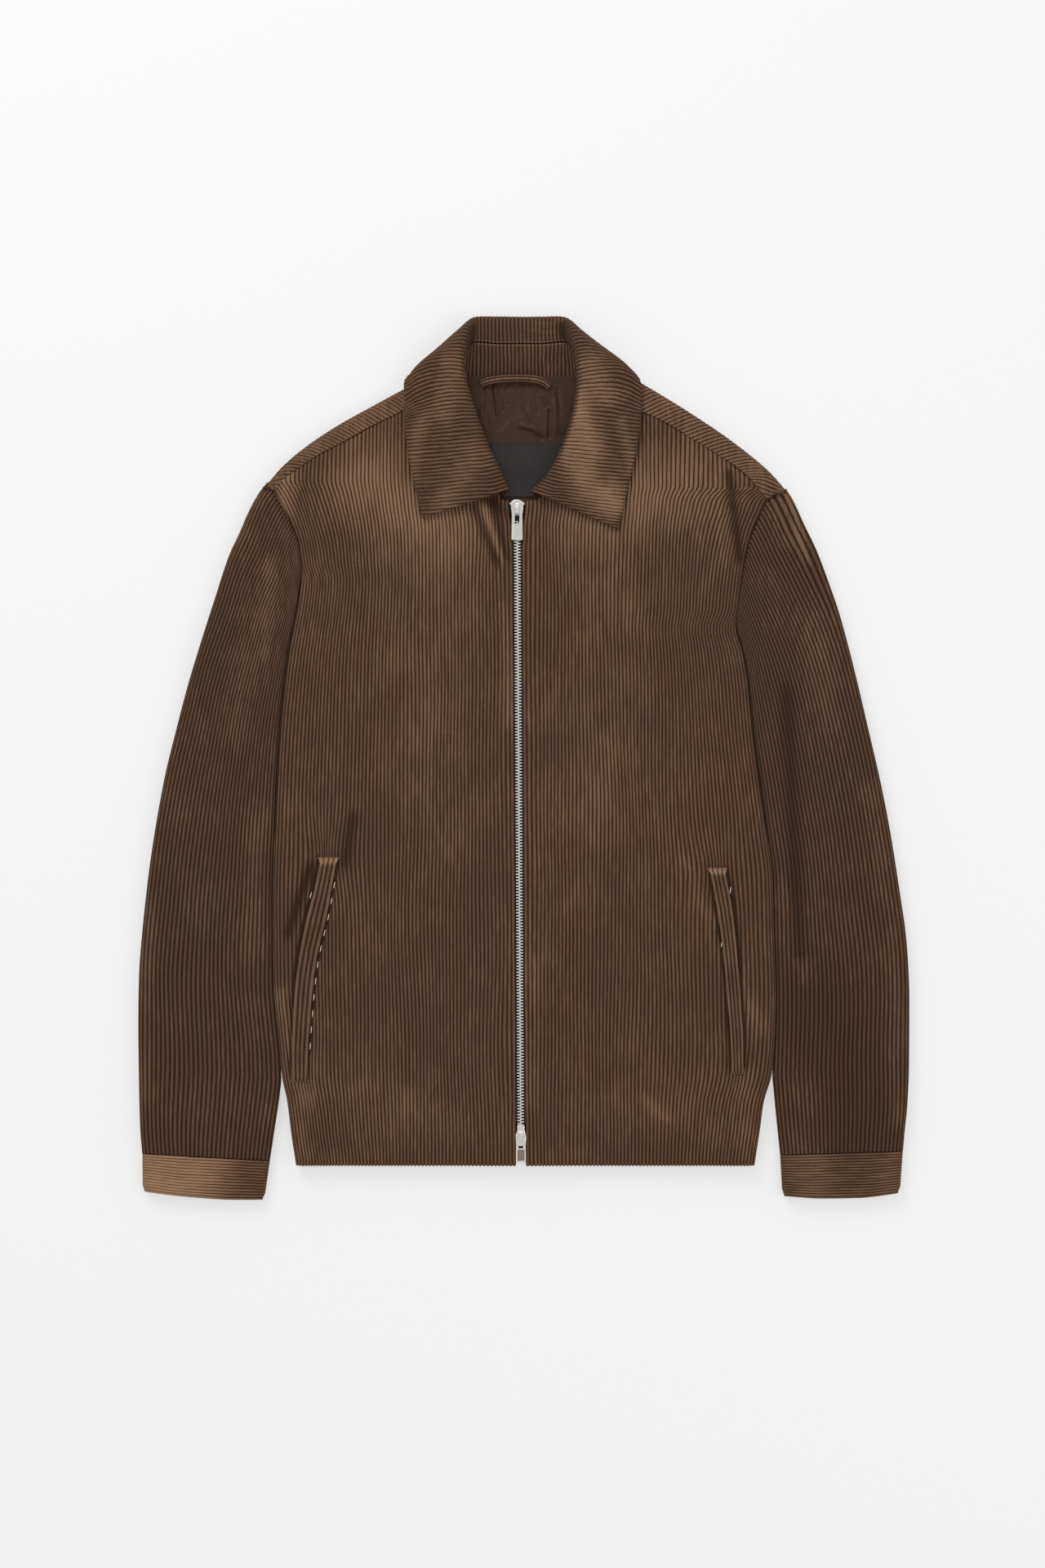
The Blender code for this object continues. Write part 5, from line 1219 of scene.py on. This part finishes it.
def new_tree(name, inputs):
    tree = bpy.data.node_groups.new(name, "GeometryNodeTree")
    tree.interface.new_socket("Geometry", in_out="INPUT", socket_type="NodeSocketGeometry")
    for label, kind in inputs:
        tree.interface.new_socket(label, in_out="INPUT", socket_type=kind)
    tree.interface.new_socket("Geometry", in_out="OUTPUT", socket_type="NodeSocketGeometry")
    return tree, tree.nodes.new("NodeGroupInput"), tree.nodes.new("NodeGroupOutput")


def hand_over(tree, result, last, material):
    """Give what the last node makes its material, and hand it over."""
    inputs = {"Geometry": last.outputs["Geometry"], "Material": material}
    coloured = node(tree, "GeometryNodeSetMaterial", inputs)
    plug(tree, result, {"Geometry": coloured.outputs["Geometry"]})
    return tree


def stitch_tree():
    """Rounded stitches laid end to end along the guide's edges."""
    tree, given, result = new_tree(
        "Stitch run",
        [("Spacing", "NodeSocketFloat"), ("Length", "NodeSocketFloat"), ("Radius", "NodeSocketFloat"),
         ("Thread", "NodeSocketMaterial")],
    )
    path = node(tree, "GeometryNodeMeshToCurve", {"Mesh": given.outputs["Geometry"]})
    inputs = {"Curve": path.outputs["Curve"], "Length": given.outputs["Spacing"]}
    points = node(tree, "GeometryNodeCurveToPoints", inputs, mode="LENGTH")
    bead = node(tree, "GeometryNodeMeshUVSphere", {"Segments": 6, "Rings": 5, "Radius": 1.0})
    half = node(tree, "ShaderNodeMath", {0: given.outputs["Length"], 1: 0.5}, operation="MULTIPLY")
    thick = given.outputs["Radius"]
    size = node(tree, "ShaderNodeCombineXYZ", {"X": thick, "Y": thick, "Z": half.outputs["Value"]})
    placed = node(tree, "GeometryNodeInstanceOnPoints", {
        "Points": points.outputs["Points"], "Instance": bead.outputs["Mesh"],
        "Rotation": points.outputs["Rotation"], "Scale": size.outputs["Vector"]})
    real = node(tree, "GeometryNodeRealizeInstances", {"Geometry": placed.outputs["Instances"]})
    smooth = node(tree, "GeometryNodeSetShadeSmooth", {"Geometry": real.outputs["Geometry"]})
    return hand_over(tree, result, smooth, given.outputs["Thread"])


def tooth_tree():
    """Two rows of teeth along the zip, one half a step behind the other."""
    tree, given, result = new_tree(
        "Zip teeth",
        [("Count", "NodeSocketInt"), ("Start", "NodeSocketVector"), ("Step", "NodeSocketVector"),
         ("Metal", "NodeSocketMaterial")],
    )
    half = node(tree, "ShaderNodeVectorMath", {0: given.outputs["Step"], "Scale": 0.5}, operation="SCALE")
    shifted = node(tree, "ShaderNodeVectorMath", {0: given.outputs["Start"], 1: half.outputs["Vector"]},
                   operation="ADD")
    both = node(tree, "GeometryNodeJoinGeometry")
    for start, turn in ((given.outputs["Start"], 0.0), (shifted.outputs["Vector"], math.pi)):
        inputs = {"Count": given.outputs["Count"], "Start Location": start, "Offset": given.outputs["Step"]}
        row = node(tree, "GeometryNodeMeshLine", inputs)
        placed = node(tree, "GeometryNodeInstanceOnPoints", {
            "Points": row.outputs["Mesh"], "Instance": given.outputs["Geometry"], "Rotation": (0.0, 0.0, turn)})
        tree.links.new(placed.outputs["Instances"], both.inputs["Geometry"])
    real = node(tree, "GeometryNodeRealizeInstances", {"Geometry": both.outputs["Geometry"]})
    return hand_over(tree, result, real, given.outputs["Metal"])


def grown(name, guide, tree, values):
    """The plain mesh that a tree makes from a guide, which is then removed."""
    grow = guide.modifiers.new("Grow", "NODES")
    grow.node_group = tree
    for label, value in values.items():
        grow[socket_id(tree, label)] = value
    bpy.context.view_layer.update()
    seen = guide.evaluated_get(bpy.context.evaluated_depsgraph_get())
    data = bpy.data.meshes.new_from_object(seen)
    data.name = name
    guide.modifiers.remove(grow)
    bpy.data.objects.remove(guide, do_unlink=True)
    if not data.polygons:
        raise RuntimeError(f"{name} came out empty")
    return linked(name, data)


def guide_lines(name, lines):
    """A guide of separate lines of points in the cutting frame."""
    points, edges = [], []
    for line in lines:
        start = len(points)
        points += [tuple(p) for p in to_frame(line)]
        edges += [(k, k + 1) for k in range(start, start + len(line) - 1)]
    data = bpy.data.meshes.new(name)
    data.from_pydata(points, edges, [])
    return linked(name, data)


def stitches(name, lines, spacing, long, radius, material, body=ROOT):
    tree = bpy.data.node_groups.get("Stitch run") or stitch_tree()
    piece = grown(name, guide_lines(name + "_guide", lines), tree,
                  {"Spacing": spacing * MM, "Length": long * MM, "Radius": radius * MM, "Thread": material})
    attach(piece, body)
    return piece


# ---------------------------------------------------------------- settings
def hex_colour(label, use, default):
    return StringProperty(name=label, description=use + ", sRGB hex", default=default)


def length(label, use, default, low, high):
    return FloatProperty(name=label, description=use, default=default, min=low, max=high, subtype="DISTANCE",
                         unit="LENGTH")


class JacketCloth(bpy.types.PropertyGroup):
    """The corduroy's ribs and colours."""

    rib_high: length("Rib height", "Height of a rib's pile above its furrow", 0.0006, 0.0, 0.002)
    # Between the ribs, partly the ground's own colour and partly painted shade, and also the colour of the painted
    # shadows where the ribs are lowered.
    furrow_and_shadow: hex_colour("Furrow", "Colour between the ribs", "#2d1b0e")
    dark_crown: hex_colour("Dark pile", "Pile seen end on", "#584332")
    red_crown: hex_colour("Red pile", "The same where the dye is redder", "#5f4230")
    light_crown: hex_colour("Light pile", "Pile that leans to the light", "#8c6c53")
    lining: hex_colour("Lining", "Colour of the quilted lining", "#43301f")
    label: hex_colour("Label", "Colour of the neck label", "#252423")
    thread: hex_colour("Thread", "Colour of the sewing thread", "#6d523c")
    basting: hex_colour("Basting", "Colour of the loose basting stitches", "#d8c9b4")


class JacketMetal(bpy.types.PropertyGroup):
    """The zip's metal."""

    colour: hex_colour("Nickel", "Colour of the plating", "#dcdad4")
    tooth_pitch: length("Tooth pitch", "From one tooth to the next on a side", 0.00256, 0.001, 0.01)


class JacketStage(bpy.types.PropertyGroup):
    """The floor, the lights and the camera."""

    camera_high: length("Camera height", "Above the cloth", 3.2, 0.5, 20)
    view_high: length("View height", "What the picture's height takes in", 1.352, 0.2, 5)
    key_power: FloatProperty(name="Key light", description="Power of the large soft light", default=46.0, min=0,
                             max=2000, unit="POWER")
    floor_colour: FloatVectorProperty(name="Floor", description="Linear colour of the floor", size=3,
                                      subtype="COLOR", default=(0.3, 0.3, 0.3), min=0, max=1)
    floor_glow: FloatProperty(name="Floor glow", description="Light that comes up through the floor",
                              default=0.567, min=0, max=1)


# ---------------------------------------------------------------- operators
class JACKET_OT_body(bpy.types.Operator):
    """Make both front panels and the back"""

    bl_idname = "jacket.body"
    bl_label = "Body"

    def execute(self, context):
        ribs = context.scene.jacket_cloth.rib_high / MM
        for side in SIGN:
            surface, rib, nap_and_painted_light = front_surface(side)
            wall = wall_at(side, surface[..., 0], surface[..., 1]) - INSIDE_WALL
            piece = cloth(f"front_{side}_cloth", surface, wall, corduroy(f"Corduroy front {side}"), rib, nap_and_painted_light, ribs)
            keep(piece, f"front_{side}")
        surface, phase = back_surface()
        # The back is lighter where it rolls up over the shoulders.
        rolled = smoothstep(7, 14, surface[..., 2])
        piece = cloth("back_cloth", surface, PADDED_WALL - INSIDE_WALL, corduroy("Corduroy back"), rib_height(phase),
                      0.28 * rolled, ribs, faces_down=True)
        keep(piece, "back")
        return {"FINISHED"}


class JACKET_OT_sleeves(bpy.types.Operator):
    """Make both sleeves"""

    bl_idname = "jacket.sleeves"
    bl_label = "Sleeves"

    def execute(self, context):
        ribs = context.scene.jacket_cloth.rib_high / MM
        for side in SIGN:
            surface, rib, nap_and_painted_light = sleeve_surface(side)
            piece = cloth(f"sleeve_{side}_cloth", surface, SLEEVE_WALL - INSIDE_WALL,
                          corduroy(f"Corduroy sleeve {side}", tone=0.82), rib, nap_and_painted_light, ribs, closed=True)
            keep(piece, f"sleeve_{side}")
        return {"FINISHED"}


class JACKET_OT_cuffs(bpy.types.Operator):
    """Make both cuffs"""

    bl_idname = "jacket.cuffs"
    bl_label = "Cuffs"

    def execute(self, context):
        ribs = context.scene.jacket_cloth.rib_high / MM * 0.8
        for side, tone in (("right", 1.1), ("left", 1.0)):
            surface, rib, nap_and_painted_light = cuff_surface(side)
            piece = cloth(f"cuff_{side}_cloth", surface, CUFF_WALL - INSIDE_WALL,
                          corduroy(f"Corduroy cuff {side}", tone=tone, along=(0.12, 1.0, 1.0)), rib, nap_and_painted_light, ribs,
                          closed=True, skip=(6, 4))
            keep(piece, f"cuff_{side}")
        return {"FINISHED"}


class JACKET_OT_collar(bpy.types.Operator):
    """Make the collar's fall and its stand, with the double stitching between them"""

    bl_idname = "jacket.collar"
    bl_label = "Collar"

    def execute(self, context):
        ribs = context.scene.jacket_cloth.rib_high / MM
        face, phase, nap_and_painted_light, wall = fall_surface()
        material = corduroy("Corduroy collar", tone=0.94, along=(0.12, 1.0, 1.0))
        piece = cloth("collar_fall_cloth", face, wall, material, rib_height(phase), nap_and_painted_light, ribs, skip=(6, 3))
        keep(piece, "collar_fall")
        seams = [face_line(face, 1)]
        face, phase = stand_surface()
        seams.append(face_line(face, 16))
        piece = cloth("collar_stand_cloth", face, COLLAR_WALL - 0.4, corduroy("Corduroy stand", tone=0.92),
                      rib_height(phase), 0.0, ribs, skip=(6, 3))
        keep(piece, "collar_stand")
        made = stitches("collar_stitches", seams, 2.9, 2.4, 0.26, thread("Thread collar", "#8f7258"))
        return {"FINISHED"}


def face_line(face, column):
    """A line along one column of a grid, just over its surface, between both shoulders."""
    line = (face + 0.2 * outward_normals(face, 2))[::4, column]
    return line[(abs(line[:, 0]) < 38.0) & (line[:, 1] > 690.0)]


class JACKET_OT_pockets(bpy.types.Operator):
    """Make both slanted pocket welts and their stitching"""

    bl_idname = "jacket.pockets"
    bl_label = "Pockets"

    def execute(self, context):
        ribs = context.scene.jacket_cloth.rib_high / MM * 0.8
        plain = thread("Thread brown", context.scene.jacket_cloth.thread)
        pale = thread("Thread basting", context.scene.jacket_cloth.basting)
        sewn, loose = [], []
        for side in SIGN:
            rows = WELT[side]
            ups = span((rows["up"][0], rows["up"][-1] + 2.5, 110))
            box = 1.4 * smoothstep(4.2, 3.2, ups[-1] - ups)
            inner = smooth_curve(rows["up"], rows["inner"], np.minimum(ups, rows["up"][-1])) - box
            outer = smooth_curve(rows["up"], rows["outer"], np.minimum(ups, rows["up"][-1])) + box
            share = np.linspace(0, 1, WELT_RIBS * RIB_COLUMNS + 1)
            x = SIGN[side] * (inner[:, None] + (outer - inner)[:, None] * share)
            up = ups[:, None] + 0 * x
            ends = np.minimum(up - ups[0], ups[-1] - up)
            edges = np.minimum(share, 1 - share)[None, :] * 13.0
            base = front_high(side, x, up) + strokes(FINE_CREASES, x, up)
            high = base + LAY_GAP + WELT_WALL - rounded_drop(edges, 1.1) - rounded_drop(ends, 1.3)
            high = high + 0.12 * ripple(x, up, 71, 22)
            # The welt's pile is a little lighter than the front's and much lighter near its top end, with painted
            # highlights along both edges.
            piece = cloth(f"welt_{side}_cloth", np.stack([x, up, high], axis=-1), WELT_WALL - 1.1,
                          corduroy(f"Corduroy welt {side}", tone=0.9), rib_height(share * WELT_RIBS)[None, :],
                          0.12 + 0.85 * (1 - smoothstep(3.6, 8.0, ups[-1] - up)) + 0.8 * bell(edges, 1.0),
                          ribs, skip=(5, 6))
            keep(piece, f"pocket_welt_{side}")
            sewn += welt_seams(side, inner, outer, ups)
            loose += basting_runs(side, inner, outer, ups)
        made = stitches("pocket_stitches", sewn, 2.6, 2.3, 0.28, plain)
        made = stitches("basting_stitches", loose, 13.2, 6.4, 0.36, pale)
        return {"FINISHED"}


def laid_line(side, outs, ups, lift):
    """A line of points a little above the front."""
    x, ups = SIGN[side] * np.asarray(outs, float), np.asarray(ups, float)
    return np.column_stack([x, ups, front_high(side, x, ups) + strokes(FINE_CREASES, x, ups) + lift])


def welt_seams(side, inner, outer, ups):
    """Lines of stitching across both ends of a welt, and the box at its top."""
    found = []
    top, foot = ups[-1], ups[0]
    for level, reach, lift in ((top - 0.9, 0.0, 2.0), (foot - 0.8, 0.6, 0.5), (foot + 0.4, 0.6, 1.6)):
        near = float(np.interp(level, ups, inner)) - reach
        far = float(np.interp(level, ups, outer)) + reach
        found.append(laid_line(side, np.linspace(near, far, 8), [level] * 8, lift))
    beside = np.linspace(top - 0.9, top - 9.0, 8)
    for edge, reach in ((inner, 0.8), (outer, -0.8)):
        found.append(laid_line(side, np.interp(beside, ups, edge) + reach, beside, 2.0))
    return found


def basting_runs(side, inner, outer, ups):
    """Loose pale stitches left beside the welt."""
    if side == "left":
        return [laid_line(side, [182.0, 181.4], [238.0, 233.6], 0.7),
                laid_line(side, [174.6, 173.6], [192.0, 187.6], 0.9)]
    level = span((ups[0] + 30, ups[-1] - 24, 12))
    beside = np.interp(level, ups, inner) - 1.2
    top = np.array([ups[-1] - 33, ups[-1] - 26.5])
    return [laid_line(side, beside, level, 0.7), laid_line(side, np.interp(top, ups, outer) + 1.4, top, 0.7)]


class JACKET_OT_inside(bpy.types.Operator):
    """Make what shows inside the neck: the quilted lining, the bare label and the hanging loop"""

    bl_idname = "jacket.inside"
    bl_label = "Inside"

    def execute(self, context):
        look = context.scene.jacket_cloth
        ups = span((LINING_UP[0], LINING_UP[1] + 3.5, 178))
        x, up = np.meshgrid(np.linspace(-LINING_HALF, LINING_HALF, 157), ups)
        high = lining_high(x, up)
        low_wall = high - PADDED_WALL - LAY_GAP
        piece = cloth("lining_cloth", np.stack([x, up, high], axis=-1), np.minimum(low_wall, LINING_WALL),
                      satin("Satin lining", look.lining, "#2e2014"), 1.0, 0.0, 0.0, skip=(6, 6))
        keep(piece, "lining_back")
        x, up = np.meshgrid(np.linspace(*LABEL["x"], 63), np.linspace(*LABEL["up"], 48))
        edge = np.minimum(np.minimum(x - x.min(), x.max() - x), np.minimum(up - up.min(), up.max() - up))
        high = LABEL["high"] + 0.25 * ripple(x, up, 81, 30) - rounded_drop(edge, 0.5) + 0.15 * bell(edge - 1, 0.8)
        piece = cloth("label_cloth", np.stack([x, up, high], axis=-1), LABEL_WALL,
                      satin("Satin label", look.label, "#343231", threads=3600.0), 1.0, 0.0, 0.0, skip=(47, 62))
        keep(piece, "label")
        sides, foot, top = (LABEL["x"][0] + 1, LABEL["x"][1] - 1), LABEL["up"][0] + 4, LABEL["up"][1] - 1
        over = LABEL["high"] + 0.3
        seam = [[(side, foot, over), (side, top, over)] for side in sides]
        seam.append([(side, top, over) for side in sides])
        made = stitches("label_stitches", seam, 1.8, 1.5, 0.16, thread("Thread black", "#2b2a29"))
        lines = []
        for turn, offset in ((1, QUILT_RISING), (1, QUILT_RISING - QUILT_APART), (-1, QUILT_FALLING)):
            xs = np.linspace(-44, 52, 90)
            ups = offset + turn * xs
            kept = (ups > 628) & (ups < 676) & (abs(xs) < 46)
            line = np.column_stack([xs, ups, lining_high(xs, ups) + 0.05])[kept]
            if len(line) > 2:
                lines.append(line)
        made = stitches("quilting_stitches", lines, 2.4, 1.9, 0.2, thread("Thread lining", "#2a2018"))
        keep(hanger_piece(), "hanger_loop")
        return {"FINISHED"}


def lining_high(x, up):
    """Height of the quilted lining: soft pillows between two families of slanting seams."""
    near = QUILT
    for across in ((up - x - QUILT_RISING) / math.sqrt(2), (up + x - QUILT_FALLING) / math.sqrt(2)):
        near = np.minimum(near, np.abs(np.mod(across + QUILT / 2, QUILT) - QUILT / 2))
    in_neck = smoothstep(626, 640, up) * (1 - smoothstep(664, 678, up))
    high = PADDED_WALL + LAY_GAP + LINING_WALL + 0.2 + 1.1 * in_neck * (1 - bell(near, 7))
    folds = table(
        "x0 up0 x1 up1 half_wide high",
        (1, 636, 10, 633, 1.7, -1.5), (10, 633, 19, 628, 1.7, -1.6), (2, 639, 18, 634, 2.6, 1.2),
        (26, 630, 27, 652, 1.5, -1.7), (23, 632, 23.5, 653, 2.2, 1.2), (31, 634, 31, 660, 2.6, 1.0),
        (24, 656, 20, 662, 1.6, -1.2), (-31, 672, -27, 640, 1.5, -0.9), (-24, 672, -22, 648, 1.4, -1.0),
        (-21, 673, -19, 648, 1.5, 1.5), (-17, 673, -15, 652, 1.4, -0.9), (-12, 674, -11, 658, 1.3, -0.8),
        (-6, 642, -18, 632, 3.2, 0.6), (8, 670, 9, 646, 2.2, 0.9), (14, 670, 16, 650, 1.4, -0.8),
        (-2, 672, -1, 656, 1.4, -0.7), (3, 672, 4, 656, 1.6, 1.1), (-29, 668, -33, 650, 2.0, 1.2),
        (12, 645, 4, 655, 2.4, 1.0), (33, 672, 35, 650, 1.6, -0.9),
    )
    return high + strokes(folds, x, up) + 0.12 * ripple(x, up, 82, 12) * in_neck


def hanger_piece():
    """A folded strip of corduroy sewn into the neck seam as a loop."""
    path = through_points(np.column_stack(list(HANGER.values())), 12)
    heading = np.gradient(path, axis=0)
    heading /= np.linalg.norm(heading, axis=1, keepdims=True)
    across = np.cross(heading, (0.0, 0.0, 1.0))
    across /= np.linalg.norm(across, axis=1, keepdims=True)
    upward = np.cross(across, heading)
    turn = np.linspace(0, 2 * math.pi, 48, endpoint=False)
    rib = 0.5 + 0.5 * np.cos(3 * math.pi * np.cos(turn))
    size = 1 - 0.06 * (1 - rib)
    ring = (
        path[:, None]
        + across[:, None] * (HANGER_HALF_WIDE * np.sign(np.cos(turn)) * abs(np.cos(turn)) ** 0.7)[None, :, None]
        + upward[:, None] * (HANGER_HALF_THICK * np.sin(turn) * size)[None, :, None]
    )
    rows, cols = ring.shape[:2]
    faces = [[i * cols + j, i * cols + (j + 1) % cols, (i + 1) * cols + (j + 1) % cols, (i + 1) * cols + j]
             for i in range(rows - 1) for j in range(cols)]
    faces += [list(range(cols))[::-1], list(range((rows - 1) * cols, rows * cols))]
    values = {"rib": np.tile(rib, rows), "nap_and_painted_light": np.full(rows * cols, 0.25)}
    piece = make_object("hanger_cloth", ring.reshape(-1, 3), faces, corduroy("Corduroy hanger", tone=1.0), values)
    outward(piece)
    return piece


def outward(piece):
    mesh = bmesh.new()
    mesh.from_mesh(piece.data)
    bmesh.ops.recalc_face_normals(mesh, faces=mesh.faces)
    mesh.to_mesh(piece.data)
    mesh.free()
    piece.data.update()


class JACKET_OT_zip(bpy.types.Operator):
    """Make the zip's teeth and finish its tapes, sliders and pull tabs"""

    bl_idname = "jacket.zip"
    bl_label = "Zip"

    def execute(self, context):
        metal = context.scene.jacket_metal
        count = int((TEETH_UP[1] - TEETH_UP[0]) * MM / metal.tooth_pitch)
        start, end = to_frame([[float(zip_x(up)), up, CHAIN_HIGH] for up in TEETH_UP])
        data = bpy.data.meshes.new("tooth")
        tooth_mesh(data)
        piece = grown("zip_teeth", linked("tooth_guide", data), tooth_tree(), {
            "Count": count, "Start": tuple(start), "Step": tuple((end - start) / count),
            "Metal": nickel("Nickel teeth", 0.36)})
        keep(piece, "zip_chain")
        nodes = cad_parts
        for name, made in (
            ("zip_tape_right", twill_tape("Zip tape right", "#33231a")),
            ("zip_tape_left", twill_tape("Zip tape left", "#33231a")),
            ("slider_top", nickel("Nickel slider top", shaded=(0.2085, 0.212))),
            ("slider_bottom", nickel("Nickel slider bottom")),
            ("pull_tab_top", nickel("Nickel tab top", 0.2)),
            ("pull_tab_bottom", nickel("Nickel tab bottom", 0.2, sunk=0.767)),
        ):
            for place in nodes[name].material_slots:
                place.material = made
        return {"FINISHED"}


def tooth_mesh(data):
    """One tooth, clamped on the tape's edge at its foot, with a rounded head over the zip line."""
    outline = ((-2.8, -0.62), (-1.4, -0.66), (-0.5, -0.5), (0.3, -0.62), (0.85, -0.4), (0.95, 0.0), (0.85, 0.4),
               (0.3, 0.62), (-0.5, 0.5), (-1.4, 0.66), (-2.8, 0.62))
    mesh = bmesh.new()
    layers = []
    for high, shrink in ((-1.25, 0.86), (-0.9, 1.0), (0.9, 1.0), (1.25, 0.84)):
        layers.append([mesh.verts.new((x * (1 if x < -2 else shrink) * MM, y * shrink * MM, high * MM))
                       for x, y in outline])
    for a, b in zip(layers[:-1], layers[1:]):
        for k in range(len(outline)):
            mesh.faces.new([a[k], a[(k + 1) % len(outline)], b[(k + 1) % len(outline)], b[k]])
    mesh.faces.new(layers[0][::-1])
    mesh.faces.new(layers[-1])
    bmesh.ops.recalc_face_normals(mesh, faces=mesh.faces)
    mesh.to_mesh(data)
    mesh.free()


class JACKET_OT_stage(bpy.types.Operator):
    """Set the floor, the soft lights and the camera over the jacket"""

    bl_idname = "jacket.stage"
    bl_label = "Stage"

    def execute(self, context):
        stage = context.scene.jacket_stage
        mesh = bmesh.new()
        bmesh.ops.create_grid(mesh, x_segments=1, y_segments=1, size=12.0)
        bmesh.ops.translate(mesh, verts=mesh.verts, vec=(0, 0, -0.0004))
        data = bpy.data.meshes.new("floor")
        mesh.to_mesh(data)
        mesh.free()
        made, tree, shader = new_material("Opal acrylic floor, lit from below")
        plug(tree, shader, {
            "Base Color": (*stage.floor_colour, 1.0), "Emission Color": WHITE, "Emission Strength": stage.floor_glow,
            "Roughness": 0.9, "Specular IOR Level": 0.1,
        })
        data.materials.append(made)
        floor = linked("floor", data)
        world = bpy.data.worlds.new("Soft white room")
        world.use_nodes = True
        plug(world.node_tree, world.node_tree.nodes["Background"], {"Color": WHITE, "Strength": 0.74})
        context.scene.world = world
        for name, place, size, share in (
            ("key", (-1.1, 2.2, 2.0), 1.6, 1.0), ("fill", (1.8, -0.6, 2.2), 2.2, 0.35),
        ):
            lamp = bpy.data.lights.new(name, "AREA")
            lamp.shape, lamp.size, lamp.energy = "DISK", size, stage.key_power * share
            holder = linked(name, lamp)
            holder.location = place
            aim = -np.array(place) / np.linalg.norm(place)
            holder.rotation_euler = (math.acos(-aim[2]), 0.0, math.atan2(aim[1], aim[0]) - math.pi / 2)
        lens = bpy.data.cameras.new("camera")
        lens.lens = lens.sensor_width * stage.camera_high / stage.view_high
        lens.clip_end = 50.0
        camera = linked("camera", lens)
        camera.location = (-0.0011, -0.0222, stage.camera_high + BODY_THICK * MM)
        context.scene.camera = camera
        context.scene.view_settings.view_transform = "Standard"
        return {"FINISHED"}


class JACKET_PT_panel(bpy.types.Panel):
    """The jacket's settings and steps"""

    bl_idname = "JACKET_PT_panel"
    bl_label = "Corduroy jacket"
    bl_space_type = "VIEW_3D"
    bl_region_type = "UI"
    bl_category = "Jacket"

    def draw(self, context):
        for group in (context.scene.jacket_cloth, context.scene.jacket_metal, context.scene.jacket_stage):
            for key in group.bl_rna.properties.keys():
                if key not in ("rna_type", "name"):
                    self.layout.prop(group, key)
        for step in STEPS:
            self.layout.operator(step.bl_idname)


STEPS = (
    JACKET_OT_body, JACKET_OT_sleeves, JACKET_OT_cuffs, JACKET_OT_collar, JACKET_OT_pockets, JACKET_OT_inside,
    JACKET_OT_zip, JACKET_OT_stage,
)
GROUPS = {"jacket_cloth": JacketCloth, "jacket_metal": JacketMetal, "jacket_stage": JacketStage}


def register():
    for made in (*GROUPS.values(), *STEPS, JACKET_PT_panel):
        bpy.utils.register_class(made)
    for key, made in GROUPS.items():
        setattr(bpy.types.Scene, key, PointerProperty(type=made))


def unregister():
    for key in GROUPS:
        delattr(bpy.types.Scene, key)
    for made in reversed((*GROUPS.values(), *STEPS, JACKET_PT_panel)):
        bpy.utils.unregister_class(made)


def main():
    register()
    bpy.ops.jacket.body()
    bpy.ops.jacket.sleeves()
    bpy.ops.jacket.cuffs()
    bpy.ops.jacket.collar()
    bpy.ops.jacket.pockets()
    bpy.ops.jacket.inside()
    bpy.ops.jacket.zip()
    bpy.ops.jacket.stage()


if __name__ == "__main__":
    main()
